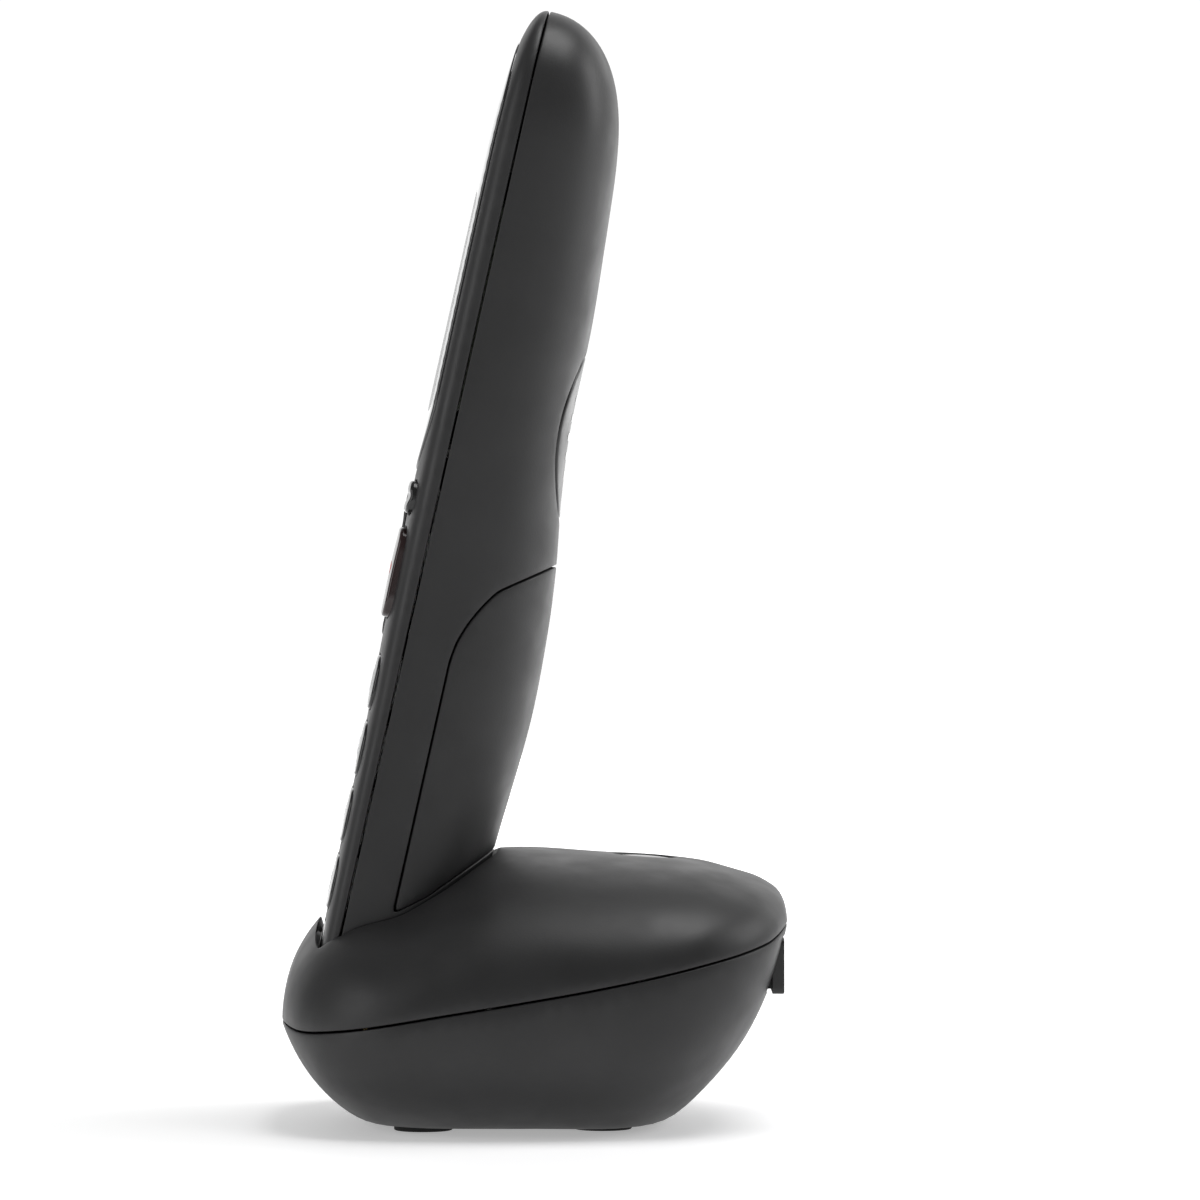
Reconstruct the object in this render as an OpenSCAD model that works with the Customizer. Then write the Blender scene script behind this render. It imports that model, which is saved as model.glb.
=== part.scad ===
// Cordless phone: a handset standing in a small pebble-shaped charging base.
// Millimetres, +Z up. The phone faces -Y, X is its width, and the origin is the
// middle of the base's footprint on the table.
//
// Handset shapes are drawn in the handset's own frame: X across, Y from the
// parting seam (y = 0) to the back, Z along the handset. in_dock() leans that
// frame back and puts it in the base.

/* [Handset] */
// Width of the handset
hand_w = 47; // [43:0.5:52]
// Top end of the handset, above the frame's origin
hand_top = 146.5; // [142:0.5:150]
// Bottom end of the handset, below the frame's origin
hand_foot = 10.5; // [9.5:0.1:11.5]
// Lean of the docked handset from upright
hand_tilt = 12.6; // [11.5:0.1:13.5]
// Wall of the handset's shells
hand_wall = 1.6; // [1.2:0.1:2]
// Gap along the seams between shells
seam_gap = 0.3; // [0.2:0.05:0.4]
// Thickness of the glossy front plate
plate_t = 1.1; // [0.8:0.1:1.3]
// Gap round inlaid plates, windows and grilles
inlay_gap = 0.1; // [0.05:0.05:0.2]

/* [Keys] */
// Distance between the rows of keys
row_pitch = 10.45; // [10.2:0.05:10.6]
// Length of a digit key along the handset
key_l = 8.4; // [7.6:0.1:8.6]
// Width of a digit key
key_w = 11.4; // [10:0.1:12.4]
// Distance between the columns of keys
column_pitch = 13.6; // [13.4:0.1:14]
// Height of the key tops above the shell
key_proud = 0.45; // [0.3:0.05:0.6]
// Gap between a key and its opening
key_gap = 0.3; // [0.2:0.05:0.4]
// How far a key's hidden rim reaches past the key
key_rim = 0.7; // [0.5:0.05:0.8]
// Travel of a key
key_travel = 0.6; // [0.4:0.1:0.7]

/* [Electronics] */
// Diameter of an AAA cell
cell_d = 10.5; // [10:0.1:10.6]
// Length of an AAA cell
cell_l = 44.5; // [43.3:0.1:44.6]
// Thickness of the circuit boards
board_t = 1.2; // [0.8:0.1:1.4]
// Diameter of the earpiece speaker
earpiece_d = 15; // [12:0.5:16]
// Diameter of the loudspeaker
loud_d = 20; // [16:0.5:21]

/* [Base] */
// Width of the base
base_w = 84; // [78:1:90]
// Depth of the base, front to back
base_l = 78.4; // [77.5:0.1:80]
// Wall of the base's shells
base_wall = 2; // [1.6:0.1:2.4]
// Wall of the pocket that the handset stands in
pocket_wall = 1.6; // [1.4:0.1:2]
// Gap between the handset and the pocket
pocket_gap = 0.6; // [0.5:0.05:0.8]
// Extra gap in front of the handset for its keys
pocket_front_gap = 0.35; // [0.3:0.05:0.5]
// Height that the rubber feet stand out below the base
foot_proud = 0.6; // [0.4:0.1:0.8]
// Diameter of the rubber feet
foot_d = 9; // [7:0.5:10]
// Diameter of the paging key
page_d = 9; // [7:0.5:10]

/* [Sockets] */
// Width of a modular socket's mouth
jack_w = 9.8; // [7:0.1:10.4]
// Height of a modular socket's mouth
jack_h = 5.6; // [5.2:0.1:5.8]
// Depth of a modular socket's mouth
jack_deep = 9; // [8:0.5:10]
// Wall of a modular socket
jack_wall = 0.9; // [0.8:0.1:1]
// Distance between the two sockets
jack_pitch = 17; // [14.5:0.5:18]

/* [Hidden] */

big = 400;
// Corner and hole facets of the moulded skins
skin_fn = 12;

// ---------------------------------------------------------------- curves

// Index of the span of p that holds x
function span(p, x, i = 0) = i >= len(p) - 2 || x <= p[i + 1].x ? i : span(p, x, i + 1);

// Slope of the smooth curve through p, at its point i
function slope(p, i) =
    let (a = max(i - 1, 0), b = min(i + 1, len(p) - 1)) (p[b].y - p[a].y) / (p[b].x - p[a].x);

// Smooth curve through the points p, read at x
function curve(p, x) =
    let (
        i = span(p, x),
        h = p[i + 1].x - p[i].x,
        u = min(max((x - p[i].x) / h, 0), 1)
    )
    p[i].y * (1 + 2 * u) * (1 - u) * (1 - u) + p[i + 1].y * u * u * (3 - 2 * u)
    + h * slope(p, i) * u * (1 - u) * (1 - u) - h * slope(p, i + 1) * u * u * (1 - u);

// Rounded end: 1 while u is below 0, falling to 0 at u = 1
function round_off(u, p, q) = u <= 0 ? 1 : pow(max(1 - pow(u, p), 0), 1 / q);

// Signed power, for superellipse points
function spow(v, e) = sign(v) * pow(abs(v), e);

// Point of a superellipse quarter set: half axes a and b, roundness n
function rounded_point(angle, a, b, n) =
    [a * spow(cos(angle), 2 / n), b * spow(sin(angle), 2 / n)];

// ---------------------------------------------------------------- solids

// Solid through a list of rings with equal counts, each anticlockwise seen
// from the last ring
module loft(rings) {
    n = len(rings[0]);
    m = len(rings);
    sides = [
        for (j = [0:m - 2]) for (i = [0:n - 1])
            let (a = j * n + i, b = j * n + (i + 1) % n)
            each [[a, a + n, b + n], [a, b + n, b]]
    ];
    ends = [[for (i = [0:n - 1]) i], [for (i = [n - 1:-1:0]) (m - 1) * n + i]];
    polyhedron([for (r = rings) each r], concat(sides, ends), convexity = 8);
}

// A moulded part is one faceted skin
module moulded() {
    resize([0, 0, 0]) children();
}

// Rounded rectangle of w by l with corner radius r, centred
module rounded(w, l, r, fn = 32) {
    square([w - 2 * r, l], center = true);
    square([w, l - 2 * r], center = true);
    for (x = [-1, 1], y = [-1, 1]) {
        translate([x * (w / 2 - r), y * (l / 2 - r)]) circle(r, $fn = fn);
    }
}

// Prism through the handset's thickness, from depth y0 to y1
module through(x, s, y0, y1) {
    translate([x, y1, s]) rotate([90, 0, 0]) linear_extrude(y1 - y0) children();
}

// Block between two corners
module block(low, high) {
    translate(low) cube(high - low);
}

// ---------------------------------------------------------------- handset shape

// Depth of the back behind the seam, along the handset
back_line = [
    [-10.5, 17.5], [4, 19], [20, 20], [38, 21.1], [52, 20.7], [62, 19.8], [73, 18.2],
    [84, 17.2], [100, 17], [115, 16.1], [128, 15.3], [146.5, 15]
];
// Height of the front face before the seam, along the handset
front_line = [[-10.5, 3.1], [12, 3.5], [34, 3.8], [50, 4.3], [80, 4.7], [146.5, 4.9]];
back_n = 2.8;
front_n = 3.2;
top_start = 120;
foot_start = -1;
foot_over = 1.5;
ring_count = 32;

// Ring of the handset at height s, grown outwards by g
function hand_ring(s, g = 0, front_g = 0) =
    let (
        rise = (s - top_start) / (hand_top + g - top_start),
        drop = (foot_start - s) / (hand_foot + g + foot_start + foot_over),
        ends = round_off(rise, 2.5, 2.2) * round_off(drop, 2.5, 2.5),
        w = (hand_w / 2 + g) * round_off(rise, 4, 2.6) * round_off(drop, 3, 3.4),
        b = (curve(back_line, s) + g) * ends,
        f = (curve(front_line, s) + g + front_g) * ends
    )
    [
        for (k = [0:ring_count - 1])
            let (
                a = 360 * k / ring_count,
                p = rounded_point(a, w, sin(a) < 0 ? f : b, sin(a) < 0 ? front_n : back_n)
            )
            [p.x, p.y, s]
    ];

// Heights of the rings, closer together at the rounded ends
function foot_stations(g) = [for (a = [0:20:80]) foot_start - (hand_foot + g + foot_start) * cos(a)];

function hand_stations(g) = concat(
    foot_stations(g),
    [for (s = [4:16:top_start - 3]) s],
    [for (a = [0:14:70]) top_start + (hand_top + g - top_start) * sin(a)],
    [for (a = [78, 86]) top_start + (hand_top + g - top_start) * sin(a)]
);

module hand_solid(g = 0) {
    loft([for (s = hand_stations(g)) hand_ring(s, g)]);
}

// Depth of the front face at height s on the centre line
function face(s) =
    -curve(front_line, s) * round_off((s - top_start) / (hand_top - top_start), 2.5, 2.2);

// Outline of the battery cover, seen from the side: up the handset's flank,
// round to the back, and down the edge of the base
cover_flank = 7.3;
cover_low = 5.7;
cover_high = 45;
cover_arc_end = [12, 56.7];
cover_top = [26, 67];
// The cover leaves backwards and up, parallel to its lower edge
cover_angle = 37.6;
// Top edge of the back shell's tongue, seen from behind: along the pocket's rim
tongue_line = [[21, 36.3], [20, 37.4], [18.5, 38.7], [17, 39.65], [15, 40.6], [12, 41.5], [7, 42.2]];

module cover_zone(grow) {
    rise = (30 - cover_flank) * tan(cover_angle);
    rotate([90, 0, 90]) linear_extrude(big, center = true) polygon([
        [cover_flank - grow, cover_low - grow],
        [cover_flank - grow, cover_high],
        [cover_flank + 0.4 - grow, cover_high + 3],
        [cover_flank + 1.4 - grow, cover_high + 6],
        [cover_flank + 2.9 - grow, cover_high + 9],
        [cover_arc_end.x - grow / 2, cover_arc_end.y + grow],
        [cover_top.x, cover_top.y + grow],
        [30, cover_top.y + grow],
        [30, cover_low + rise - grow]
    ]);
}

// Raised tongue of the back shell below the cover, hidden from the side
module tongue_zone(grow) {
    far = [for (i = [len(tongue_line) - 1:-1:0]) [-tongue_line[i].x, tongue_line[i].y]];
    undock() rotate([90, 0, 0]) linear_extrude(big, center = true) offset(delta = grow)
        polygon(concat([[tongue_line[0].x, -big]], tongue_line, far, [[far[len(far) - 1].x, -big]]));
}

// ---------------------------------------------------------------- docking

dock_y = -29.6;
dock_z = 29.6;

module in_dock() {
    translate([0, dock_y, dock_z]) rotate([-hand_tilt, 0, 0]) children();
}

module undock() {
    rotate([hand_tilt, 0, 0]) translate([0, -dock_y, -dock_z]) children();
}

// ---------------------------------------------------------------- keys

row_1 = 39.25;
soft_at = [15, 68.2];
soft_size = [9, 5];
nav_at = [0, 63.6];
nav_size = [14, 13];
call_at = [14, 56.4];
call_size = [10.4, 14];
int_at = [0, 48.6];
int_size = [9, 4.6];
low_l = 6.8;
low_w = 10.6;
low_proud = 0.2;
rim_front = 0.85;
rim_back = 0.35;

// Keys that aren't digits: name, place, size, corner radius, height above shell
soft_proud = 0.85;
call_proud = 1.0;

module key(at, size, r, proud) {
    color([0.09, 0.09, 0.1]) in_dock() {
        through(at.x, at.y, face(at.y) - proud + side_drop(at.x), -rim_front)
            rounded(size.x, size.y, r);
        through(at.x, at.y, -rim_front, -rim_back)
            rounded(size.x + 2 * key_rim, size.y + 2 * key_rim, r + key_rim);
    }
}

// How far the face falls away from the centre line at x
function side_drop(x) =
    4 * (1 - pow(1 - pow(abs(x) / (hand_w / 2), front_n), 1 / front_n));

function digit_at(col, row) = [col * column_pitch, row_1 - row * row_pitch];

module digit(col, row) {
    key(digit_at(col, row), [key_w, key_l], 3, key_proud);
}

module low_key(col) {
    key([col * column_pitch, low_row], [low_w, low_l], 2.6, low_proud);
}

low_row = row_1 - 3.5 * row_pitch - 1 - low_l / 2;

// Every key's opening in the front shell
module key_openings() {
    for (col = [-1, 0, 1]) {
        for (row = [0:3]) opening(digit_at(col, row), [key_w, key_l], 3);
        opening([col * column_pitch, low_row], [low_w, low_l], 2.6);
    }
    for (side = [-1, 1]) {
        opening([side * soft_at.x, soft_at.y], soft_size, 2.2);
        opening([side * call_at.x, call_at.y], call_size, 3);
    }
    opening(nav_at, nav_size, 4);
    opening(int_at, int_size, 2);
}

module opening(at, size, r) {
    through(at.x, at.y, -20, 1)
        rounded(size.x + 2 * key_gap, size.y + 2 * key_gap, r + key_gap, skin_fn);
}

// ---------------------------------------------------------------- handset parts

plate_low = 72.4;
plate_high = 140.6;
plate_w = 40;
lens_at = 99.2;
lens_size = [33, 35.4];
lens_proud = 0.25;
grille_at = 130.5;
grille_size = [17, 4.2];
inlay_at = 82.7;
inlay_size = [27, 26];
inlay_t = 1.2;
screw_at = [10, 76.5];
screw_d = 2.2;
column_d = 5;
pcb_y = 1.2;
tray_y = 4.4;
cell_y = 11.6;
cell_s = 8.4;

// Region in front of the depth y
module before(y) {
    block([-big, -big, -big], [big, y, big]);
}

// Region behind the depth y
module behind(y) {
    block([-big, y, -big], [big, big, big]);
}

// Space of the front plate, grown by g; the plate follows the face
module plate_space(g) {
    difference() {
        through(0, (plate_low + plate_high) / 2, -20, 0)
            rounded(plate_w + 2 * g, plate_high - plate_low + 2 * g, 12 + g);
        hand_solid(-plate_t - g);
    }
}

module front_shell() {
    color([0.2, 0.2, 0.21]) in_dock() moulded() difference() {
        intersection() {
            hand_solid();
            before(-seam_gap / 2);
        }
        // Hollow, thinner round the keys than behind the front plate
        difference() {
            union() {
                hand_solid(-hand_wall - plate_t);
                intersection() {
                    hand_solid(-hand_wall);
                    through(0, 30, -20, 1) rounded(plate_w, 83.3, 4, skin_fn);
                }
            }
            for (x = [-screw_at.x, screw_at.x]) {
                through(x, screw_at.y, -10, 5) circle(d = column_d, $fn = skin_fn);
            }
        }
        plate_space(inlay_gap);
        key_openings();
        through(0, lens_at, -20, 1) rounded(lens_size.x - 2, lens_size.y - 2, 2, skin_fn);
        for (x = [-4, 0, 4]) {
            through(x, grille_at, -20, 1) rounded(2.4, 1.4, 0.6);
        }
        for (x = [-screw_at.x, screw_at.x]) {
            through(x, screw_at.y, -2.4, 4) circle(d = screw_d + 0.2, $fn = 24);
        }
    }
}

module faceplate() {
    color([0.12, 0.12, 0.13]) in_dock() moulded() difference() {
        intersection() {
            hand_solid();
            plate_space(0);
        }
        through(0, lens_at, -20, 1)
            rounded(lens_size.x + 2 * inlay_gap, lens_size.y + 2 * inlay_gap, 3 + inlay_gap);
        through(0, grille_at, -20, 1)
            rounded(grille_size.x + 2 * inlay_gap, grille_size.y + 2 * inlay_gap, 2 + inlay_gap);
    }
}

module display_lens() {
    color([0.55, 0.57, 0.56]) in_dock() through(
        0, lens_at, face(lens_at) - lens_proud, face(lens_at) + plate_t
    ) rounded(lens_size.x, lens_size.y, 3);
}

module lcd_module() {
    color([0.5, 0.55, 0.5]) in_dock() through(0, lens_at, hand_wall - 3.1, pcb_y - 0.1)
        rounded(lens_size.x + 1, lens_size.y - 3, 0.8);
}

module earpiece_grille() {
    color([0.3, 0.3, 0.31]) in_dock() difference() {
        through(0, grille_at, face(grille_at) + 0.1, face(grille_at) + plate_t - 0.1)
            rounded(grille_size.x, grille_size.y, 2);
        for (x = [-4, 0, 4]) {
            through(x, grille_at, -20, 1) rounded(2.4, 1.4, 0.6);
        }
    }
}

module earpiece_speaker() {
    color([0.4, 0.4, 0.42]) in_dock()
        through(0, grille_at - 2, hand_wall - 3.3, pcb_y - 0.1) circle(d = earpiece_d, $fn = 48);
}

// Loudspeaker panel on the back, an oval that follows the shell
module inlay_space(g) {
    difference() {
        through(0, inlay_at, 4, 40)
            rounded(inlay_size.x + 2 * g, inlay_size.y + 2 * g, inlay_size.y / 2 + g - 0.5);
        hand_solid(-inlay_t - g);
    }
}

module grille_slots(y0, y1) {
    for (i = [-2:2]) {
        through(0, inlay_at + i * 3, y0, y1) rounded(14 - 2 * abs(i), 1.2, 0.6);
    }
}

module rear_inlay() {
    color([0.16, 0.16, 0.17]) in_dock() moulded() difference() {
        intersection() {
            hand_solid();
            inlay_space(0);
        }
        grille_slots(4, 40);
    }
}

module back_shell() {
    color([0.2, 0.2, 0.21]) in_dock() moulded() difference() {
        union() {
            difference() {
                intersection() {
                    hand_solid();
                    behind(seam_gap / 2);
                }
                hand_solid(-hand_wall);
            }
            intersection() {
                hand_solid(-hand_wall / 2);
                union() {
                    // Seat under the loudspeaker panel
                    difference() {
                        inlay_space(inlay_gap + 1.5);
                        hand_solid(-inlay_t - hand_wall);
                    }
                    // Floor and top wall of the battery tray
                    block([-big, tray_y, -hand_foot], [big, tray_y + hand_wall, 59]);
                    block([-big, tray_y, 55.4], [big, 16.8, 57]);
                }
            }
            intersection() {
                hand_solid(-hand_wall / 2);
                for (x = [-screw_at.x, screw_at.x]) {
                    through(x, screw_at.y, pcb_y + board_t + 0.2, 30)
                        circle(d = column_d, $fn = 24);
                }
            }
        }
        difference() {
            cover_zone(seam_gap);
            tongue_zone(0);
        }
        inlay_space(inlay_gap);
        grille_slots(4, 40);
        contact_blocks(inlay_gap);
        cell_space();
        for (x = [-screw_at.x, screw_at.x]) {
            through(x, screw_at.y, 0, 40) circle(d = screw_d + 0.3, $fn = 24);
            through(x, screw_at.y, 10, 40) circle(d = 4.2, $fn = 24);
        }
    }
}

// Room that the two cells need in the tray and under the cover
module cell_space() {
    for (side = [-1, 1]) {
        translate([side * (cell_d / 2 + 0.25), cell_y, cell_s - 0.1])
            cylinder(d = cell_d + 0.2, h = cell_l + 0.2, $fn = 48);
    }
}

module battery_cover() {
    color([0.2, 0.2, 0.21]) in_dock() moulded() intersection() {
        difference() {
            hand_solid();
            hand_solid(-hand_wall);
            cell_space();
        }
        difference() {
            cover_zone(0);
            tongue_zone(seam_gap);
        }
    }
}

module cell(side) {
    r = cell_d / 2;
    in_dock() translate([side * (r + 0.25), cell_y, cell_s]) {
        color([0.25, 0.45, 0.3]) cylinder(h = cell_l - 1, r = r, $fn = 48);
        color("silver") translate([0, 0, cell_l - 1]) cylinder(h = 1, d = 3.8, $fn = 32);
    }
}

module battery_left() {
    cell(-1);
}

module battery_right() {
    cell(1);
}

// Sheet-metal contacts at both ends of the cells
module battery_contacts() {
    color("gold") in_dock() for (x = [-1, 1] * (cell_d / 2 + 0.25)) {
        block([x - 4, 8.4, cell_s - 0.6], [x + 4, 15, cell_s - 0.1]);
        block([x - 4, 8.4, cell_s + cell_l + 0.1], [x + 4, 15, cell_s + cell_l + 0.6]);
    }
}

module loudspeaker() {
    color([0.35, 0.35, 0.37]) in_dock() {
        through(0, 85.2, 8.4, 10.6) circle(d = 12, $fn = 48);
        through(0, 85.2, 10.6, 13) circle(d = loud_d, $fn = 48);
    }
}

module microphone() {
    color("silver") in_dock() through(0, mic_s, pcb_y + board_t, pcb_y + board_t + 1.6)
        circle(d = 4, $fn = 32);
}

mic_s = -3.5;

mat_y = key_travel - rim_back + 0.1;

module keypad_mat() {
    color([0.75, 0.75, 0.72]) in_dock() through(0, 32, mat_y, mat_y + 0.6) rounded(38, 74, 4);
}

module handset_pcb() {
    color([0.1, 0.35, 0.2]) in_dock() difference() {
        through(0, 64, pcb_y, pcb_y + board_t) rounded(38, 138, 6);
        for (x = [-screw_at.x, screw_at.x]) {
            through(x, screw_at.y, 0, 5) circle(d = screw_d + 0.8, $fn = 24);
        }
    }
}

module handset_shield() {
    color("silver") in_dock()
        through(0, 115, pcb_y + board_t, pcb_y + board_t + 3) rounded(26, 24, 1);
}

// Charging contacts in the handset's foot
contact_x = 9;
contact_y = 7;
contact_size = [5, 4];
contact_t = 2.2;

module contact_blocks(gap) {
    for (x = [-contact_x, contact_x]) {
        block(
            [x - contact_size.x / 2 - gap, contact_y - contact_size.y / 2 - gap, -hand_foot - 5 * gap],
            [x + contact_size.x / 2 + gap, contact_y + contact_size.y / 2 + gap, contact_t - hand_foot]
        );
    }
}

module handset_contacts() {
    color("gold") in_dock() contact_blocks(0);
}

module handset_screws() {
    color("silver") in_dock() for (x = [-screw_at.x, screw_at.x]) {
        through(x, screw_at.y, -2.2, 10.1) circle(d = screw_d, $fn = 24);
        through(x, screw_at.y, 10.1, 11.6) circle(d = 3.9, $fn = 24);
    }
}

module nav_key() {
    key(nav_at, nav_size, 4, soft_proud);
}

module int_key() {
    key(int_at, int_size, 2, key_proud);
}

module talk_key() {
    key([-call_at.x, call_at.y], call_size, 3, call_proud);
}

module end_key() {
    key(call_at, call_size, 3, call_proud);
}

module soft_key_left() {
    key([-soft_at.x, soft_at.y], soft_size, 2.2, soft_proud);
}

module soft_key_right() {
    key(soft_at, soft_size, 2.2, soft_proud);
}

// ---------------------------------------------------------------- base shape

half_l = base_l / 2;
half_w = base_w / 2;

// Height of the seam between the base's shells, front to back
seam_line = [
    [-39.2, 16.4], [-36, 15.7], [-31.8, 16], [-24.8, 17], [-13.1, 19.1], [-2.3, 20.9],
    [10.1, 23.1], [24.5, 26.1], [35.8, 29.1], [39.2, 31.3]
];
// Height of the dome above the seam, before its ends are rounded
dome_line = [
    [-39.2, 19.8], [-30, 20.6], [-21, 18.9], [-14.8, 20.1], [-6.2, 22.1], [13.3, 17.9],
    [25.4, 14.8], [32, 13], [39.2, 12.8]
];
// Depth of the bowl below the seam, before its ends are rounded
bowl_line = [
    [-39.2, 18.3], [-21, 20], [0, 23.5], [12, 26], [20.9, 25.9], [28, 25], [33, 26], [39.2, 29]
];
plan_n = 3;
dome_n = 2.1;
bowl_n = 2.6;
base_count = 36;

// Ring of the base across its width at depth y, shrunk inwards by t
function base_ring(y, t = 0) =
    let (
        rho = min(abs(y) / (half_l - t), 0.9995),
        w = (half_w - t) * pow(1 - pow(rho, plan_n), 1 / plan_n),
        seam = curve(seam_line, y),
        up = (curve(dome_line, y) - t) * pow(1 - pow(rho, 6), 1 / 2),
        down = (curve(bowl_line, y) - t) * (1 - pow(rho, 4.5))
    )
    [
        for (k = [0:base_count - 1])
            let (
                a = 360 * k / base_count,
                p = rounded_point(a, w, sin(a) < 0 ? down : up, sin(a) < 0 ? bowl_n : dome_n)
            )
            [p.x, y, seam + p.y]
    ];

module base_solid(t = 0) {
    loft([for (a = [4:8.6:176]) base_ring((half_l - t) * cos(a), t)]);
}

// Region above the seam
module above_seam(lift) {
    points = [for (y = [-half_l - 2.3:3.9:half_l + 4]) [y, curve(seam_line, y) + lift]];
    rotate([90, 0, 90]) linear_extrude(big, center = true)
        polygon(concat([[-big, points[0].y]], points, [
            [big, points[len(points) - 1].y], [big, big], [-big, big]
        ]));
}

// The handset's space in the base, grown by g, open upwards
module dock_solid(g) {
    in_dock() loft([
        for (s = concat(foot_stations(g), [for (s = [4:9:40]) s])) hand_ring(s, g, pocket_front_gap)
    ]);
}

panel_x = 18;
panel_y = [36.4, 38.4];
panel_z = [20.8, 29.4];
page_at = [0, 17];
page_travel = 0.8;
switch_h = 4.1;
boss_at = [[28, -6.3], [25, 17.2]];
boss_d = 6.4;
board_z = 7;
pin_d = 3;

// Place of a charging pin's seat, in the handset's frame
module at_pins() {
    in_dock() for (x = [-contact_x, contact_x]) translate([x, contact_y, -hand_foot]) children();
}

// Room below the seam for the pocket's cup
cup_low = [-27.3, -31, 13];
cup_high = [27.3, 0, 26];

module bosses() {
    for (p = boss_at, x = [-1, 1]) {
        translate([x * p.x, p.y, 0]) cylinder(h = 60, d = boss_d, $fn = skin_fn);
    }
}

module base_upper_shell() {
    color([0.21, 0.21, 0.22]) moulded() difference() {
        intersection() {
            base_solid();
            union() {
                above_seam(seam_gap / 2);
                block(cup_low, cup_high);
            }
        }
        difference() {
            base_solid(base_wall);
            dock_solid(pocket_gap + pocket_wall);
            intersection() {
                bosses();
                above_seam(seam_gap / 2);
            }
        }
        dock_solid(pocket_gap);
        at_pins() translate([0, 0, -6]) cylinder(h = 8, d = pin_d + 0.4, $fn = skin_fn);
        for (p = boss_at, x = [-1, 1]) {
            translate([x * p.x, p.y, 5]) cylinder(h = 24, d = screw_d + 0.2, $fn = skin_fn);
        }
        translate([page_at.x, page_at.y, 30]) cylinder(h = 20, d = page_d + 2 * key_gap, $fn = 32);
    }
}

module base_lower_shell() {
    color([0.21, 0.21, 0.22]) moulded() difference() {
        intersection() {
            base_solid();
            block([-big, -big, foot_proud], [big, big, big]);
        }
        above_seam(-seam_gap / 2);
        difference() {
            intersection() {
                base_solid(base_wall);
                block([-big, -big, foot_proud + base_wall], [big, big, big]);
            }
            bosses();
            // Shelf under the sockets
            block([-panel_x, 24, panel_z[0] - 1.6], [panel_x, half_l, panel_z[0] - 0.1]);
        }
        dock_solid(pocket_gap + pocket_wall + 0.4);
        block(
            [-panel_x - inlay_gap, panel_y[0] - inlay_gap, panel_z[0] - inlay_gap],
            [panel_x + inlay_gap, half_l + 2, panel_z[1] + inlay_gap]
        );
        block(
            [-panel_x + 1, 30, panel_z[0] - inlay_gap],
            [panel_x - 1, half_l, panel_z[1] + inlay_gap]
        );
        for (p = boss_at, x = [-1, 1]) {
            translate([x * p.x, p.y, -1]) {
                cylinder(h = 40, d = screw_d + 0.4, $fn = skin_fn);
                cylinder(h = 8, d = 4.6, $fn = skin_fn);
            }
        }
        for (p = feet_at, x = [-1, 1]) {
            translate([x * p.x, p.y, -1]) cylinder(h = 1 + foot_seat, d = foot_d + 0.3, $fn = 24);
        }
    }
}

feet_at = [[18, -17], [16, 10.5]];
foot_seat = 1.4;

module base_feet() {
    color([0.08, 0.08, 0.08]) for (p = feet_at, x = [-1, 1]) {
        translate([x * p.x, p.y, 0]) cylinder(h = foot_seat - 0.1, d = foot_d, $fn = 48);
    }
}

module base_screws() {
    color("silver") for (p = boss_at, x = [-1, 1]) {
        translate([x * p.x, p.y, 5.2]) cylinder(h = 1.7, d = 4.2, $fn = 24);
        translate([x * p.x, p.y, 5.2]) cylinder(h = 22, d = screw_d, $fn = 24);
    }
}

module socket(side) {
    x = side * jack_pitch / 2;
    z = (panel_z[0] + panel_z[1]) / 2;
    y1 = panel_y[1];
    y0 = y1 - jack_deep - 1.2;
    color([0.07, 0.07, 0.08]) difference() {
        block(
            [x - jack_w / 2 - jack_wall, y0, z - jack_h / 2 - jack_wall],
            [x + jack_w / 2 + jack_wall, y1, z + jack_h / 2 + jack_wall]
        );
        block([x - jack_w / 2, y1 - jack_deep, z - jack_h / 2], [x + jack_w / 2, y1 + 1, z + jack_h / 2]);
    }
}

module line_socket() {
    socket(1);
}

module power_socket() {
    socket(-1);
}

module rear_panel() {
    z = (panel_z[0] + panel_z[1]) / 2;
    color([0.06, 0.06, 0.07]) difference() {
        block([-panel_x, panel_y[0], panel_z[0]], [panel_x, panel_y[1], panel_z[1]]);
        for (x = [-1, 1] * jack_pitch / 2) {
            block(
                [x - jack_w / 2 - jack_wall - inlay_gap, 0, z - jack_h / 2 - jack_wall - inlay_gap],
                [x + jack_w / 2 + jack_wall + inlay_gap, 60, z + jack_h / 2 + jack_wall + inlay_gap]
            );
        }
    }
}

// Height of the base's top at depth y on the centre line
function base_top(y) =
    curve(seam_line, y) + curve(dome_line, y) * pow(1 - pow(abs(y) / half_l, 6), 1 / 2);

module paging_key() {
    top = base_top(page_at.y) - 0.15;
    under = top - base_wall - 0.5;
    stem_z = board_z + board_t + switch_h + page_travel + 0.1;
    color([0.12, 0.12, 0.13]) translate([page_at.x, page_at.y, 0]) {
        translate([0, 0, under]) cylinder(h = top - under, d = page_d, $fn = 48);
        translate([0, 0, under - 1]) cylinder(h = 1, d = page_d + 3, $fn = 48);
        translate([0, 0, stem_z]) cylinder(h = under - 1 - stem_z, d = 3, $fn = 32);
    }
}

module page_switch() {
    color([0.3, 0.3, 0.3]) translate([page_at.x, page_at.y, board_z + board_t]) {
        translate([-3, -3, 0]) cube([6, 6, switch_h - 0.7]);
        translate([0, 0, switch_h - 0.7]) cylinder(h = 0.7, d = 3.4, $fn = 32);
    }
}

module base_pcb() {
    color([0.1, 0.35, 0.2]) block([-21, -22, board_z], [21, 21, board_z + board_t]);
}

module base_shield() {
    color("silver") block([-16, -12, board_z + board_t], [14, 8, board_z + board_t + 3]);
}

module charge_pin(side) {
    in_dock() translate([side * contact_x, contact_y, -hand_foot]) color("gold") {
        translate([0, 0, -1.3]) cylinder(h = 1.2, d = 2, $fn = 32);
        translate([0, 0, -3.5]) cylinder(h = 2.2, d = pin_d, $fn = 32);
    }
}

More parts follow.
